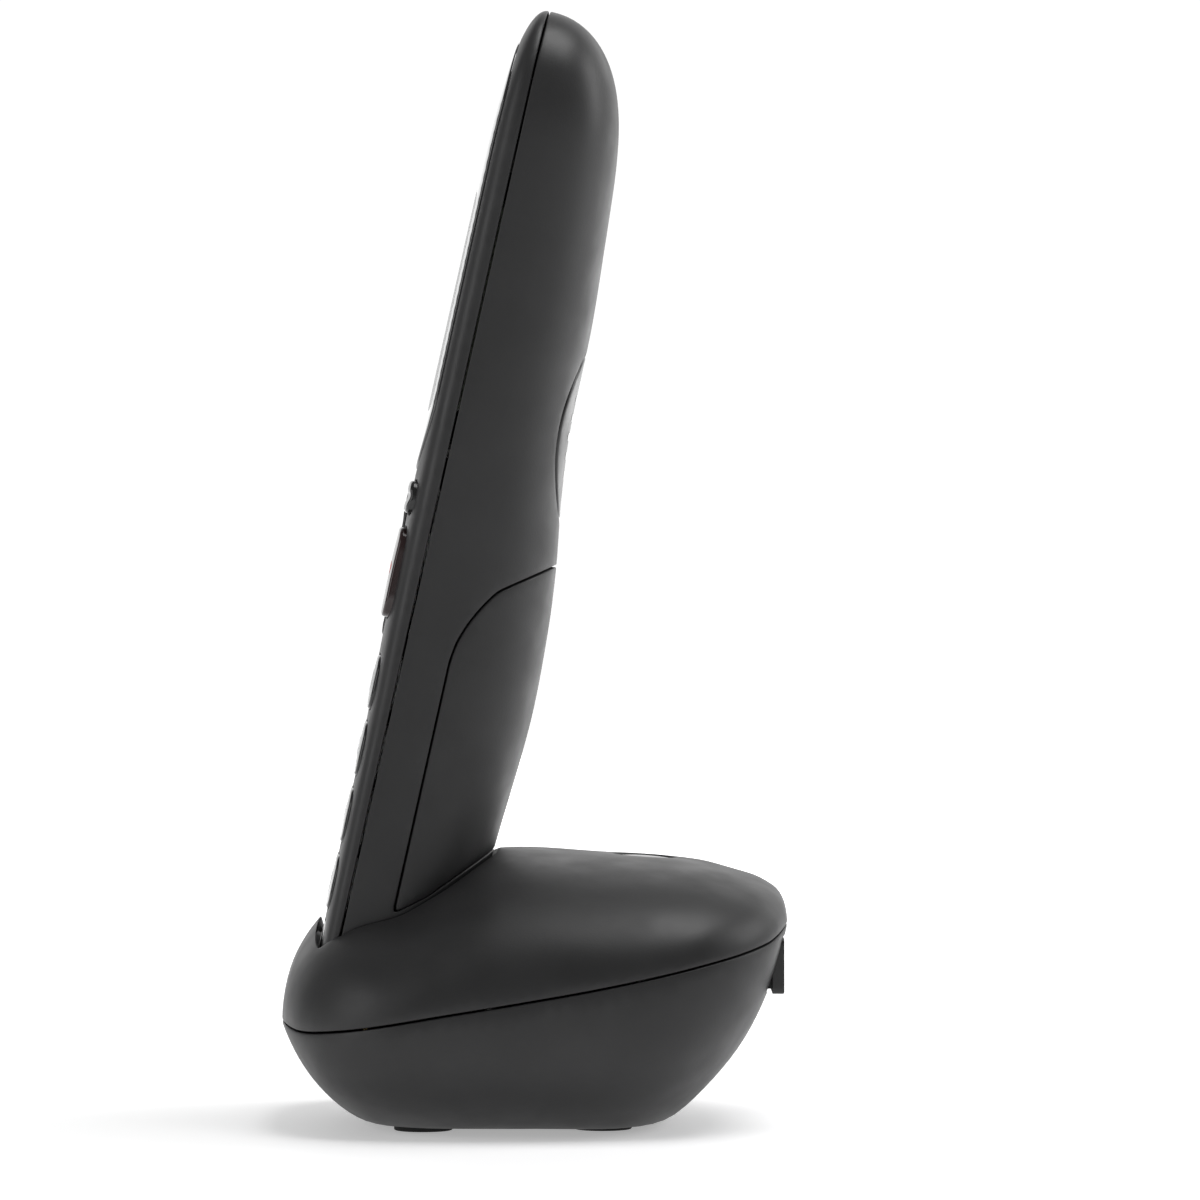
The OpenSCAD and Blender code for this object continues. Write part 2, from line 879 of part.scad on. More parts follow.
module charge_pin_left() {
    charge_pin(-1);
}

module charge_pin_right() {
    charge_pin(1);
}

// ---------------------------------------------------------------- assembly

front_shell();
back_shell();
battery_cover();
faceplate();
display_lens();
lcd_module();
earpiece_grille();
earpiece_speaker();
rear_inlay();
loudspeaker();
microphone();
keypad_mat();
handset_pcb();
handset_shield();
battery_left();
battery_right();
battery_contacts();
handset_contacts();
handset_screws();
nav_key();
int_key();
talk_key();
end_key();
soft_key_left();
soft_key_right();
digit(-1, 0);  // key_1
digit(0, 0);  // key_2
digit(1, 0);  // key_3
digit(-1, 1);  // key_4
digit(0, 1);  // key_5
digit(1, 1);  // key_6
digit(-1, 2);  // key_7
digit(0, 2);  // key_8
digit(1, 2);  // key_9
digit(-1, 3);  // key_star
digit(0, 3);  // key_0
digit(1, 3);  // key_hash
low_key(-1);  // key_redial
low_key(0);  // key_mute
low_key(1);  // key_volume
base_upper_shell();
base_lower_shell();
rear_panel();
line_socket();
power_socket();
paging_key();
page_switch();
base_pcb();
base_shield();
charge_pin_left();
charge_pin_right();
base_feet();
base_screws();
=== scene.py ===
import math

import bpy
import numpy as np
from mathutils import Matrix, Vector
from mathutils.geometry import delaunay_2d_cdt


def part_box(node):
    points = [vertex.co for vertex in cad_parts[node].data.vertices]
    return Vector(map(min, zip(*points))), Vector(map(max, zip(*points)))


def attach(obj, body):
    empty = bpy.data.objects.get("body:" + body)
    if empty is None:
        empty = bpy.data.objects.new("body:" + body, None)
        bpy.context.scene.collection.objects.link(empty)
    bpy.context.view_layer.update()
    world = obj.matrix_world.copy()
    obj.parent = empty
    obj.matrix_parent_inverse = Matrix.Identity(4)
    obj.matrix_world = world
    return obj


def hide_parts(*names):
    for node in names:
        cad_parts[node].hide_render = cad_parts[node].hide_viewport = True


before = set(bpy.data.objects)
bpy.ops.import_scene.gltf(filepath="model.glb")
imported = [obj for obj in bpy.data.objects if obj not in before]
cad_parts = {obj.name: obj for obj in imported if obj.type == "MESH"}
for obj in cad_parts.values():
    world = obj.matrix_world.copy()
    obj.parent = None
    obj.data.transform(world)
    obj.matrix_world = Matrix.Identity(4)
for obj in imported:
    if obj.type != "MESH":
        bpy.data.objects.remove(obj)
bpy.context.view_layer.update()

# ------------------------------------------------------------------ numbers, in millimetres
# The same smooth curves that the CAD lofts use, read here at a finer step.
HAND_W, HAND_TOP, HAND_FOOT, TILT = 47.0, 146.5, 10.5, math.radians(12.6)
BACK = [(-10.5, 17.5), (4, 19), (20, 20), (38, 21.1), (52, 20.7), (62, 19.8), (73, 18.2),
        (84, 17.2), (100, 17), (115, 16.1), (128, 15.3), (146.5, 15)]
FRONT = [(-10.5, 3.1), (12, 3.5), (34, 3.8), (50, 4.3), (80, 4.7), (146.5, 4.9)]
BACK_N, FRONT_N = 2.8, 3.2
TOP_START, FOOT_START, FOOT_OVER = 120.0, -1.0, 1.5
HALF_W, HALF_L = 42.0, 39.2
SEAM = [(-39.2, 16.4), (-36, 15.7), (-31.8, 16), (-24.8, 17), (-13.1, 19.1), (-2.3, 20.9),
        (10.1, 23.1), (24.5, 26.1), (35.8, 29.1), (39.2, 31.3)]
DOME = [(-39.2, 19.8), (-30, 20.6), (-21, 18.9), (-14.8, 20.1), (-6.2, 22.1), (13.3, 17.9),
        (25.4, 14.8), (32, 13), (39.2, 12.8)]
BOWL = [(-39.2, 18.3), (-21, 20), (0, 23.5), (12, 26), (20.9, 25.9), (28, 25), (33, 26),
        (39.2, 29)]
DOCK = np.array([0.0, -29.6, 29.6])
AXIS = np.array([0.0, math.sin(TILT), math.cos(TILT)])
GAP = 0.15


def curve(points, x):
    """Smooth curve through the points, read at x."""
    p = np.array(points, float)
    n = len(p)
    before, after = np.maximum(np.arange(n) - 1, 0), np.minimum(np.arange(n) + 1, n - 1)
    slope = (p[after, 1] - p[before, 1]) / (p[after, 0] - p[before, 0])
    x = np.asarray(x, float)
    i = np.clip(np.searchsorted(p[:, 0], x, side="left") - 1, 0, n - 2)
    h = p[i + 1, 0] - p[i, 0]
    u = np.clip((x - p[i, 0]) / h, 0, 1)
    return (p[i, 1] * (1 + 2 * u) * (1 - u) ** 2 + p[i + 1, 1] * u * u * (3 - 2 * u)
            + h * slope[i] * u * (1 - u) ** 2 - h * slope[i + 1] * u * u * (1 - u))


def round_off(u, p, q):
    return np.maximum(1 - np.maximum(u, 0) ** p, 0) ** (1 / q)


def section(s, g=0.0, front_g=0.0):
    """Half width, back depth and front height of the handset at s, grown by g."""
    rise = (s - TOP_START) / (HAND_TOP + g - TOP_START)
    drop = (FOOT_START - s) / (HAND_FOOT + g + FOOT_START + FOOT_OVER)
    ends = round_off(rise, 2.5, 2.2) * round_off(drop, 2.5, 2.5)
    w = (HAND_W / 2 + g) * round_off(rise, 4, 2.6) * round_off(drop, 3, 3.4)
    return w, (curve(BACK, s) + g) * ends, (curve(FRONT, s) + g + front_g) * ends


def docked(points):
    """Handset frame (across, depth, along) to the row frame, both in millimetres."""
    p = np.asarray(points, float)
    c, s = math.cos(TILT), math.sin(TILT)
    return np.stack([p[:, 0], p[:, 1] * c + p[:, 2] * s, -p[:, 1] * s + p[:, 2] * c], 1) + DOCK


def undocked(points):
    p = np.asarray(points, float) - DOCK
    c, s = math.cos(TILT), math.sin(TILT)
    return np.stack([p[:, 0], p[:, 1] * c - p[:, 2] * s, p[:, 1] * s + p[:, 2] * c], 1)


# ------------------------------------------------------------------ surfaces


class Half:
    """The handset's back (side 1) or front (side -1), unrolled: p runs round it, q along it."""

    def __init__(self, side, sunk=0.0, proud=0.0):
        self.side, self.sunk, self.proud = side, sunk, proud
        self.n = BACK_N if side > 0 else FRONT_N
        t = np.linspace(0, math.pi, 4001)
        x, y = self.ring(t, 23.5, 20.0 if side > 0 else 4.2)
        length = np.concatenate([[0], np.cumsum(np.hypot(np.diff(x), np.diff(y)))])
        self.turn, self.run = t, length - length[-1] / 2

    def ring(self, t, w, d):
        c, k = np.cos(t), np.sin(t)
        r = (np.abs(c) ** self.n + np.abs(k) ** self.n) ** (-1 / self.n)
        return w * c * r, d * k * r

    def s_of(self, q):
        q = np.asarray(q, float)
        up = np.clip((q - TOP_START) / 34 * math.pi / 2, 0, math.pi / 2)
        return np.where(q <= TOP_START, q, TOP_START + (HAND_TOP - TOP_START) * np.sin(up))

    def q_of(self, s):
        s = np.asarray(s, float)
        u = np.clip((s - TOP_START) / (HAND_TOP - TOP_START), 0, 1)
        return np.where(s <= TOP_START, s, TOP_START + 34 * np.arcsin(u) / (math.pi / 2))

    def depth(self, s):
        w, b, f = section(s, -self.sunk, self.proud)
        return w, b if self.side > 0 else f

    def point(self, pq):
        s = self.s_of(pq[:, 1])
        t = np.interp(pq[:, 0] * self.side, self.run, self.turn)
        w, d = self.depth(s)
        x, y = self.ring(t, w, d)
        return np.stack([x, self.side * y, s], 1)

    def spot(self, t, s):
        return np.stack([self.side * np.interp(t, self.turn, self.run), self.q_of(s)], 1)

    def at_x(self, x, s):
        x, s = np.broadcast_arrays(np.asarray(x, float), np.asarray(s, float))
        w, d = self.depth(s)
        u = np.clip(x / w, -1, 1)
        return self.spot(np.arctan2((1 - np.abs(u) ** self.n) ** (1 / self.n), u), s)

    def at_depth(self, t, s, hand):
        """Where the surface is t deep, on the hand side (1 or -1) across."""
        t, s = np.broadcast_arrays(np.asarray(t, float), np.asarray(s, float))
        w, d = self.depth(s)
        v = np.clip(t / d, 0, 1)
        return self.spot(np.arctan2(v, hand * (1 - v ** self.n) ** (1 / self.n)), s)

    def outline(self, gap=GAP, step=0.7):
        """Loop along the parting seam and over the foot, anticlockwise in (p, q)."""
        q = np.concatenate([np.arange(-HAND_FOOT, 147, step), np.linspace(147.2, 153.55, 26)])
        s = self.s_of(q)
        keep = self.depth(s)[1] > gap
        q, s = q[keep], s[keep]
        right = self.at_depth(gap, s, -self.side)
        left = self.at_depth(gap, s, self.side)
        foot = np.linspace(left[0], right[0], 70)[1:-1]
        return np.concatenate([foot, right, left[::-1]])


class Pebble:
    """The base's top (up True) or bottom, over a superellipse-shaped plan."""

    def __init__(self, up):
        self.up = up
        self.n = 2.1 if up else 2.6

    def height(self, x, y):
        rho = np.minimum(np.abs(y) / HALF_L, 0.99999)
        w = HALF_W * (1 - rho ** 3) ** (1 / 3)
        u = np.clip(np.abs(x) / w, 0, 1)
        if self.up:
            h = curve(DOME, y) * np.sqrt(1 - rho ** 6)
        else:
            h = curve(BOWL, y) * (1 - rho ** 4.5)
        return h * (1 - u ** self.n) ** (1 / self.n)

    def z(self, x, y):
        z = curve(SEAM, y) + self.height(x, y) * (1 if self.up else -1)
        if not self.up:
            z = 0.6 + 0.35 * np.logaddexp(0, (z - 0.6) / 0.35)
        return z

    def point(self, pq):
        a = (np.abs(pq[:, 0] / HALF_W) ** 3 + np.abs(pq[:, 1] / HALF_L) ** 3) ** (1 / 3)
        a = np.clip(a, 1e-9, 1)
        k = np.sin(a * math.pi / 2) / a
        x, y = pq[:, 0] * k, pq[:, 1] * k
        p = np.stack([x, y, self.z(x, y)], 1)
        return p if self.up else p * [-1, 1, 1]

    def at(self, x, y):
        x = np.asarray(x, float) * (1 if self.up else -1)
        y = np.asarray(y, float)
        r = (np.abs(x / HALF_W) ** 3 + np.abs(y / HALF_L) ** 3) ** (1 / 3)
        r = np.clip(r, 1e-9, 1)
        k = np.arcsin(r) / (math.pi / 2) / r
        return np.stack([x * k, y * k], 1)

    def outline(self, gap=GAP, count=420):
        t = np.linspace(0, 2 * math.pi, count, endpoint=False)
        c, k = np.cos(t), np.sin(t)
        r = (np.abs(c) ** 3 + np.abs(k) ** 3) ** (-1 / 3)
        edge = np.stack([HALF_W * c * r, HALF_L * k * r], 1)
        low, high = np.full(count, 0.7), np.full(count, 1.0)
        for _ in range(40):
            mid = (low + high) / 2
            m = np.sin(mid * math.pi / 2)
            inside = self.height(edge[:, 0] * m, edge[:, 1] * m) > gap
            low, high = np.where(inside, mid, low), np.where(inside, high, mid)
        return edge * low[:, None]


# ------------------------------------------------------------------ patches


def rounded(w, l, r, step=0.5, count=None):
    """Rounded rectangle, anticlockwise, centred."""
    pts = []
    for cx, cy, start in ((1, 1, 0), (-1, 1, 90), (-1, -1, 180), (1, -1, 270)):
        for a in np.linspace(start, start + 90, max(5, int(r * 1.6 / step) + 3)):
            a = math.radians(a)
            pts.append((cx * (w / 2 - r) + r * math.cos(a), cy * (l / 2 - r) + r * math.sin(a)))
    return even(np.array(pts), step, count)


def even(loop, step, count=None):
    """The loop again, with points a step apart."""
    closed = np.concatenate([loop, loop[:1]])
    length = np.concatenate([[0], np.cumsum(np.linalg.norm(np.diff(closed, axis=0), axis=1))])
    count = count or max(12, int(length[-1] / step))
    at = np.linspace(0, length[-1], count, endpoint=False)
    return np.stack([np.interp(at, length, closed[:, k]) for k in range(loop.shape[1])], 1)


def soften(loop, times=2):
    for _ in range(times):
        loop = (np.roll(loop, 1, 0) + 2 * loop + np.roll(loop, -1, 0)) / 4
    return loop


def slopes(surface, pq):
    e = 1e-3
    jp = (surface.point(pq + [e, 0]) - surface.point(pq - [e, 0])) / (2 * e)
    jq = (surface.point(pq + [0, e]) - surface.point(pq - [0, e])) / (2 * e)
    n = np.cross(jp, jq)
    return jp, jq, n / np.maximum(np.linalg.norm(n, axis=1), 1e-12)[:, None]


def inset(surface, loop, distance):
    """The loop moved along the surface into the material, which is on its left."""
    jp, jq, n = slopes(surface, loop)
    at = surface.point(loop)
    along = np.roll(at, -1, 0) - np.roll(at, 1, 0)
    into = np.cross(n, along)
    into /= np.maximum(np.linalg.norm(into, axis=1), 1e-12)[:, None]
    a, b, c = (jp * jp).sum(1), (jp * jq).sum(1), (jq * jq).sum(1)
    u, v = (jp * into).sum(1), (jq * into).sum(1)
    det = np.maximum(a * c - b * b, 1e-9)
    step = np.stack([(c * u - b * v) / det, (a * v - b * u) / det], 1)
    return loop + step * distance


def winding(points, loop):
    """True where a point is inside the loop."""
    x, y = points[:, 0][:, None], points[:, 1][:, None]
    x0, y0 = loop[:, 0], loop[:, 1]
    x1, y1 = np.roll(x0, -1), np.roll(y0, -1)
    inside = np.zeros(len(points), bool)
    for i in range(0, len(points), 4000):
        xa, ya = x[i:i + 4000], y[i:i + 4000]
        cross = (y0 > ya) != (y1 > ya)
        with np.errstate(divide="ignore", invalid="ignore"):
            hit = xa < (x1 - x0) * (ya - y0) / (y1 - y0) + x0
        inside[i:i + 4000] = (cross & hit).sum(1) % 2 == 1
    return inside


def nearest(points, others):
    best = np.full(len(points), 1e9)
    for i in range(0, len(points), 2000):
        d = points[i:i + 2000, None, :] - others[None]
        best[i:i + 2000] = np.sqrt((d * d).sum(2)).min(1)
    return best


class Mesh:
    def __init__(self):
        self.verts, self.faces, self.count = [], [], 0

    def add(self, points):
        start = self.count
        self.verts.append(np.asarray(points, float))
        self.count += len(points)
        return start

    def strip(self, a, b, n):
        """Quads between two closed rings that start at a and b."""
        for i in range(n):
            j = (i + 1) % n
            self.faces.append((a + i, a + j, b + j, b + i))

    def join(self, other):
        start = self.count
        self.verts += other.verts
        self.count += other.count
        self.faces += [tuple(start + i for i in f) for f in other.faces]
        return self


def patch(surface, outer, holes=(), thick=1.6, spacing=1.2, roll=0.25, roll_holes=None, ways=None):
    """Closed shell: the surface inside outer and outside the holes, with rolled edges.
    ways gives a hole's own direction of its wall; the others go in along the normal."""
    mesh = Mesh()
    loops = [outer] + [h[::-1] for h in holes]
    rolls = [roll] + [roll_holes or roll] * len(holes)
    ways = [None] + list(ways or [None] * len(holes))
    rims = [inset(surface, l, r) for l, r in zip(loops, rolls)]
    border = np.concatenate(rims)
    low, high = border.min(0), border.max(0)
    rows = np.arange(low[1], high[1], spacing * 0.87)
    grid = []
    for i, q in enumerate(rows):
        p = np.arange(low[0] + (i % 2) * spacing / 2, high[0], spacing)
        grid.append(np.stack([p, np.full(len(p), q)], 1))
    grid = np.concatenate(grid)
    keep = winding(grid, rims[0])
    for rim in rims[1:]:
        keep &= ~winding(grid, rim)
    grid = grid[keep]
    grid = grid[nearest(grid, border) > spacing * 0.5]
    flat = np.concatenate([border, grid])
    edges, start = [], 0
    for rim in rims:
        n = len(rim)
        edges += [(start + i, start + (i + 1) % n) for i in range(n)]
        start += n
    made = delaunay_2d_cdt([Vector(v) for v in flat], edges, [], 1, 1e-7)
    order = [ids[0] if ids else -1 for ids in made[3]]
    tri = np.array([[order[i] for i in f] for f in made[2] if len(f) == 3])
    tri = tri[(tri >= 0).all(1)]
    middle = flat[tri].mean(1)
    keep = winding(middle, rims[0])
    for rim in rims[1:]:
        keep &= ~winding(middle, rim)
    tri = tri[keep]
    a, b, c = flat[tri[:, 0]], flat[tri[:, 1]], flat[tri[:, 2]]
    area = (b[:, 0] - a[:, 0]) * (c[:, 1] - a[:, 1]) - (b[:, 1] - a[:, 1]) * (c[:, 0] - a[:, 0])
    tri[area < 0] = tri[area < 0][:, ::-1]
    skin = surface.point(flat)
    normal = slopes(surface, flat)[2]
    inner = skin - normal * thick
    front = mesh.add(skin)
    mesh.faces += [tuple(t) for t in tri]
    start = 0
    backs = []
    for loop, rim, r, way in zip(loops, rims, rolls, ways):
        n = len(rim)
        rings = []
        for turn in (30, 60, 90):
            t = math.radians(turn)
            edge = inset(surface, loop, r * (1 - math.sin(t))) if turn < 90 else loop
            nn = slopes(surface, edge)[2]
            down = -nn if way is None else np.broadcast_to(way, nn.shape)
            at = surface.point(edge)
            rings.append(mesh.add(at + down * r * (1 - math.cos(t))))
            if turn == 90:
                rings.append(mesh.add(at + down * thick))
        if way is not None:
            inner[start:start + n] = surface.point(rim) + np.broadcast_to(way, (n, 3)) * thick
        previous = front + start
        for ring in rings:
            mesh.strip(ring, previous, n)
            previous = ring
        backs.append((start, n, previous))
        start += n
    back = mesh.add(inner)
    mesh.faces += [(back + t[2], back + t[1], back + t[0]) for t in tri]
    for start, n, previous in backs:
        mesh.strip(back + start, previous, n)
    return mesh


def cap(outline, place, top, bottom, roll, crown=None):
    """Crowned button: outline(inset) gives its ring, place puts (x, height, s) in the frame.
    crown(x, s) lowers the top."""
    mesh = Mesh()
    ring0 = outline(0)
    n = len(ring0)
    sink = crown or (lambda x, s: 0 * x)
    stack = [(0.0, bottom, False)]
    for turn in (90, 70, 50, 30, 12, 0):
        t = math.radians(turn)
        stack.append((roll * (1 - math.sin(t)), top - roll * (1 - math.cos(t)), True))
    rings = []
    for distance, height, on_top in stack:
        ring = outline(distance)
        h = np.full(n, height)
        if on_top:
            h = h - sink(ring[:, 0], ring[:, 1])
        rings.append(mesh.add(place(ring, h)))
    last = outline(roll)
    middle = last.mean(0)
    for k in (0.85, 0.68, 0.5, 0.33, 0.16):
        ring = middle + (last - middle) * k
        rings.append(mesh.add(place(ring, top - sink(ring[:, 0], ring[:, 1]))))
    for a, b in zip(rings[:-1], rings[1:]):
        mesh.strip(a, b, n)
    tip = mesh.add(place(middle[None], np.array([top]) - sink(middle[None, 0], middle[None, 1])))
    floor = mesh.add(place(middle[None], np.array([bottom])))
    for i in range(n):
        j = (i + 1) % n
        mesh.faces.append((rings[-1] + i, rings[-1] + j, tip))
        mesh.faces.append((rings[0] + j, rings[0] + i, floor))
    return mesh


def prism(loop, place, low, high, roll=0.2):
    """Slab with both edges rolled; place puts (loop points, height) in the frame."""
    mesh = Mesh()
    middle = loop.mean(0)
    along = np.roll(loop, -1, 0) - np.roll(loop, 1, 0)
    out = np.stack([along[:, 1], -along[:, 0]], 1)
    out /= np.linalg.norm(out, axis=1)[:, None]
    stack = [(roll, low), (roll * 0.3, low + roll * 0.3), (0, low + roll),
             (0, high - roll), (roll * 0.3, high - roll * 0.3), (roll, high)]
    rings = [mesh.add(place(loop - out * d, np.full(len(loop), h))) for d, h in stack]
    n = len(loop)
    for a, b in zip(rings[:-1], rings[1:]):
        mesh.strip(a, b, n)
    tip = mesh.add(place(middle[None], np.array([high])))
    floor = mesh.add(place(middle[None], np.array([low])))
    for i in range(n):
        j = (i + 1) % n
        mesh.faces.append((rings[-1] + i, rings[-1] + j, tip))
        mesh.faces.append((rings[0] + j, rings[0] + i, floor))
    return mesh


def piece(name, mesh, body, material, nodes=(), frame_of=docked, sharp=50):
    """Blender object of the mesh, riding on a body."""
    verts = np.concatenate(mesh.verts)
    world = frame_of(verts) if frame_of else verts
    data = bpy.data.meshes.new(name)
    data.from_pydata((world / 1000).tolist(), [], [tuple(int(i) for i in f) for f in mesh.faces])
    data.validate()
    data.shade_smooth()
    data.set_sharp_from_angle(angle=math.radians(sharp))
    obj = bpy.data.objects.new(name, data)
    bpy.context.scene.collection.objects.link(obj)
    data.materials.append(material)
    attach(obj, body)
    if nodes:
        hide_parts(*nodes)
    return obj


# ------------------------------------------------------------------ materials


def material(name, **sockets):
    mat = bpy.data.materials.new(name)
    mat.use_nodes = True
    shader = mat.node_tree.nodes["Principled BSDF"]
    for key, value in sockets.items():
        shader.inputs[key.replace("_", " ")].default_value = value
    return mat, mat.node_tree, shader


def noise(tree, scale, detail=3.0, stretch=None):
    tex = tree.nodes.new("ShaderNodeTexNoise")
    tex.inputs["Scale"].default_value = scale
    tex.inputs["Detail"].default_value = detail
    coord = tree.nodes.new("ShaderNodeTexCoord")
    if stretch:
        mapping = tree.nodes.new("ShaderNodeMapping")
        mapping.inputs["Scale"].default_value = stretch
        tree.links.new(coord.outputs["Object"], mapping.inputs["Vector"])
        tree.links.new(mapping.outputs["Vector"], tex.inputs["Vector"])
    else:
        tree.links.new(coord.outputs["Object"], tex.inputs["Vector"])
    return tex.outputs["Fac"]


def ramp(tree, factor, low, high, at=(0.35, 0.65)):
    node = tree.nodes.new("ShaderNodeValToRGB")
    for element, place, value in zip(node.color_ramp.elements, at, (low, high)):
        element.position = place
        element.color = value if len(value) == 4 else (*value, 1)
    tree.links.new(factor, node.inputs["Fac"])
    return node.outputs["Color"]


def spread(tree, factor, low, high):
    node = tree.nodes.new("ShaderNodeMapRange")
    node.inputs["From Min"].default_value = 0.3
    node.inputs["From Max"].default_value = 0.7
    node.inputs["To Min"].default_value = low
    node.inputs["To Max"].default_value = high
    tree.links.new(factor, node.inputs["Value"])
    return node.outputs["Result"]


def bump(tree, shader, factor, strength, distance):
    node = tree.nodes.new("ShaderNodeBump")
    node.inputs["Strength"].default_value = strength
    node.inputs["Distance"].default_value = distance
    tree.links.new(factor, node.inputs["Height"])
    tree.links.new(node.outputs["Normal"], shader.inputs["Normal"])


def plastic(name, low, high, rough, grain=3200.0, strength=0.25, depth=0.00003, **sockets):
    """Moulded plastic: two close tones, uneven gloss and a fine eroded grain."""
    mat, tree, shader = material(name, **sockets)
    tree.links.new(ramp(tree, noise(tree, 60.0, 4.0), low, high), shader.inputs["Base Color"])
    tree.links.new(spread(tree, noise(tree, 140.0, 3.0), *rough), shader.inputs["Roughness"])
    bump(tree, shader, noise(tree, grain, 2.0), strength, depth)
    return mat


def grey(v, tint=(1, 1, 1)):
    return tuple(v * t for t in tint)


COOL = (1.0, 1.0, 1.03)
shell = plastic("shell", grey(0.017, COOL), grey(0.021, COOL), (0.40, 0.50), strength=0.35,
                Specular_IOR_Level=0.4)
plate = plastic("gloss_plate", grey(0.012), grey(0.016), (0.07, 0.12), grain=900.0, strength=0.04,
                Coat_Weight=1.0, Coat_Roughness=0.04)
keys = plastic("key_plastic", grey(0.010), grey(0.013), (0.16, 0.24), grain=1400.0, strength=0.08)
red_keys = plastic("end_key_plastic", (0.018, 0.008, 0.008), (0.022, 0.009, 0.009), (0.16, 0.24),
                   grain=1400.0, strength=0.08)
inlay = plastic("inlay", grey(0.014), grey(0.019), (0.30, 0.40), grain=2600.0, strength=0.3)
socket_black = plastic("socket_plastic", grey(0.006), grey(0.009), (0.35, 0.45), strength=0.2)
rubber = plastic("feet", grey(0.010), grey(0.014), (0.70, 0.85), grain=1800.0, strength=0.4)
silicone = plastic("silicone", grey(0.42), grey(0.48), (0.55, 0.7), grain=1800.0, strength=0.3)
pocket = plastic("pocket_plastic", grey(0.014), grey(0.018), (0.45, 0.55), strength=0.3)
print_ink = plastic("key_print", grey(0.62), grey(0.7), (0.4, 0.5), grain=2000.0, strength=0.1)
green_ink = plastic("call_print", (0.03, 0.35, 0.08), (0.04, 0.4, 0.1), (0.4, 0.5), strength=0.1)
red_ink = plastic("end_print", (0.55, 0.03, 0.02), (0.6, 0.04, 0.03), (0.4, 0.5), strength=0.1)
mask_ink = plastic("display_mask", grey(0.010), grey(0.013), (0.2, 0.3), strength=0.1)
cone = plastic("speaker_cone", grey(0.03), grey(0.045), (0.6, 0.8), grain=5000.0, strength=0.5)


def metal(name, low, high, rough, stretch=(1, 1, 12)):
    mat, tree, shader = material(name, Metallic=1.0)
    tree.links.new(ramp(tree, noise(tree, 250.0, 4.0), low, high), shader.inputs["Base Color"])
    tree.links.new(spread(tree, noise(tree, 400.0, 3.0, stretch), *rough),
                   shader.inputs["Roughness"])
    bump(tree, shader, noise(tree, 900.0, 3.0, stretch), 0.15, 0.00002)
    return mat


steel = metal("metal", (0.52, 0.52, 0.5), (0.62, 0.62, 0.6), (0.25, 0.38))
gold = metal("contact", (0.78, 0.56, 0.24), (0.86, 0.64, 0.3), (0.18, 0.3))


def circuit_board():
    """Green solder mask with a hint of the tracks and bare pads under it."""
    mat, tree, shader = material("board", Coat_Weight=0.5, Coat_Roughness=0.15)
    brick = tree.nodes.new("ShaderNodeTexBrick")
    brick.inputs["Scale"].default_value = 220.0
    brick.inputs["Mortar Size"].default_value = 0.03
    brick.inputs["Color1"].default_value = (0.012, 0.10, 0.035, 1)
    brick.inputs["Color2"].default_value = (0.014, 0.12, 0.04, 1)
    brick.inputs["Mortar"].default_value = (0.03, 0.2, 0.07, 1)
    coord = tree.nodes.new("ShaderNodeTexCoord")
    tree.links.new(coord.outputs["Object"], brick.inputs["Vector"])
    tree.links.new(brick.outputs["Color"], shader.inputs["Base Color"])
    tree.links.new(spread(tree, noise(tree, 300.0), 0.3, 0.45), shader.inputs["Roughness"])
    bump(tree, shader, brick.outputs["Fac"], 0.3, 0.00003)
    return mat


def cell_wrap():
    """Shrink sleeve of a rechargeable cell: a green band over grey."""
    mat, tree, shader = material("cell", Coat_Weight=0.6, Coat_Roughness=0.1)
    coord = tree.nodes.new("ShaderNodeTexCoord")
    split = tree.nodes.new("ShaderNodeSeparateXYZ")
    tree.links.new(coord.outputs["Generated"], split.inputs["Vector"])
    bands = ramp(tree, split.outputs["Z"], (0.02, 0.16, 0.05), (0.35, 0.36, 0.36), (0.66, 0.665))
    tree.links.new(bands, shader.inputs["Base Color"])
    tree.links.new(spread(tree, noise(tree, 200.0), 0.25, 0.4), shader.inputs["Roughness"])
    bump(tree, shader, noise(tree, 500.0), 0.1, 0.00003)
    return mat


def lens_glass():
    mat, tree, shader = material("lens", Base_Color=(0.01, 0.012, 0.012, 1), IOR=2.0,
                                 Alpha=0.28)
    tree.links.new(spread(tree, noise(tree, 90.0), 0.02, 0.05), shader.inputs["Roughness"])
    return mat


def lcd_glass():
    """Reflective grey-green display, off, with its faint dot grid."""
    mat, tree, shader = material("lcd")
    brick = tree.nodes.new("ShaderNodeTexBrick")
    brick.offset = 0.0
    brick.inputs["Scale"].default_value = 1.0
    brick.inputs["Mortar Size"].default_value = 0.00004
    brick.inputs["Brick Width"].default_value = 0.0003
    brick.inputs["Row Height"].default_value = 0.0003
    brick.inputs["Color1"].default_value = (0.20, 0.24, 0.17, 1)
    brick.inputs["Color2"].default_value = (0.21, 0.25, 0.18, 1)
    brick.inputs["Mortar"].default_value = (0.26, 0.31, 0.22, 1)
    coord = tree.nodes.new("ShaderNodeTexCoord")
    turn = tree.nodes.new("ShaderNodeMapping")
    turn.inputs["Rotation"].default_value = (math.radians(-90), 0, 0)
    tree.links.new(coord.outputs["Object"], turn.inputs["Vector"])
    tree.links.new(turn.outputs["Vector"], brick.inputs["Vector"])
    tree.links.new(brick.outputs["Color"], shader.inputs["Base Color"])
    tree.links.new(spread(tree, noise(tree, 80.0), 0.25, 0.35), shader.inputs["Roughness"])
    return mat


lens_mat, lcd_mat, board_mat, cell_mat = lens_glass(), lcd_glass(), circuit_board(), cell_wrap()

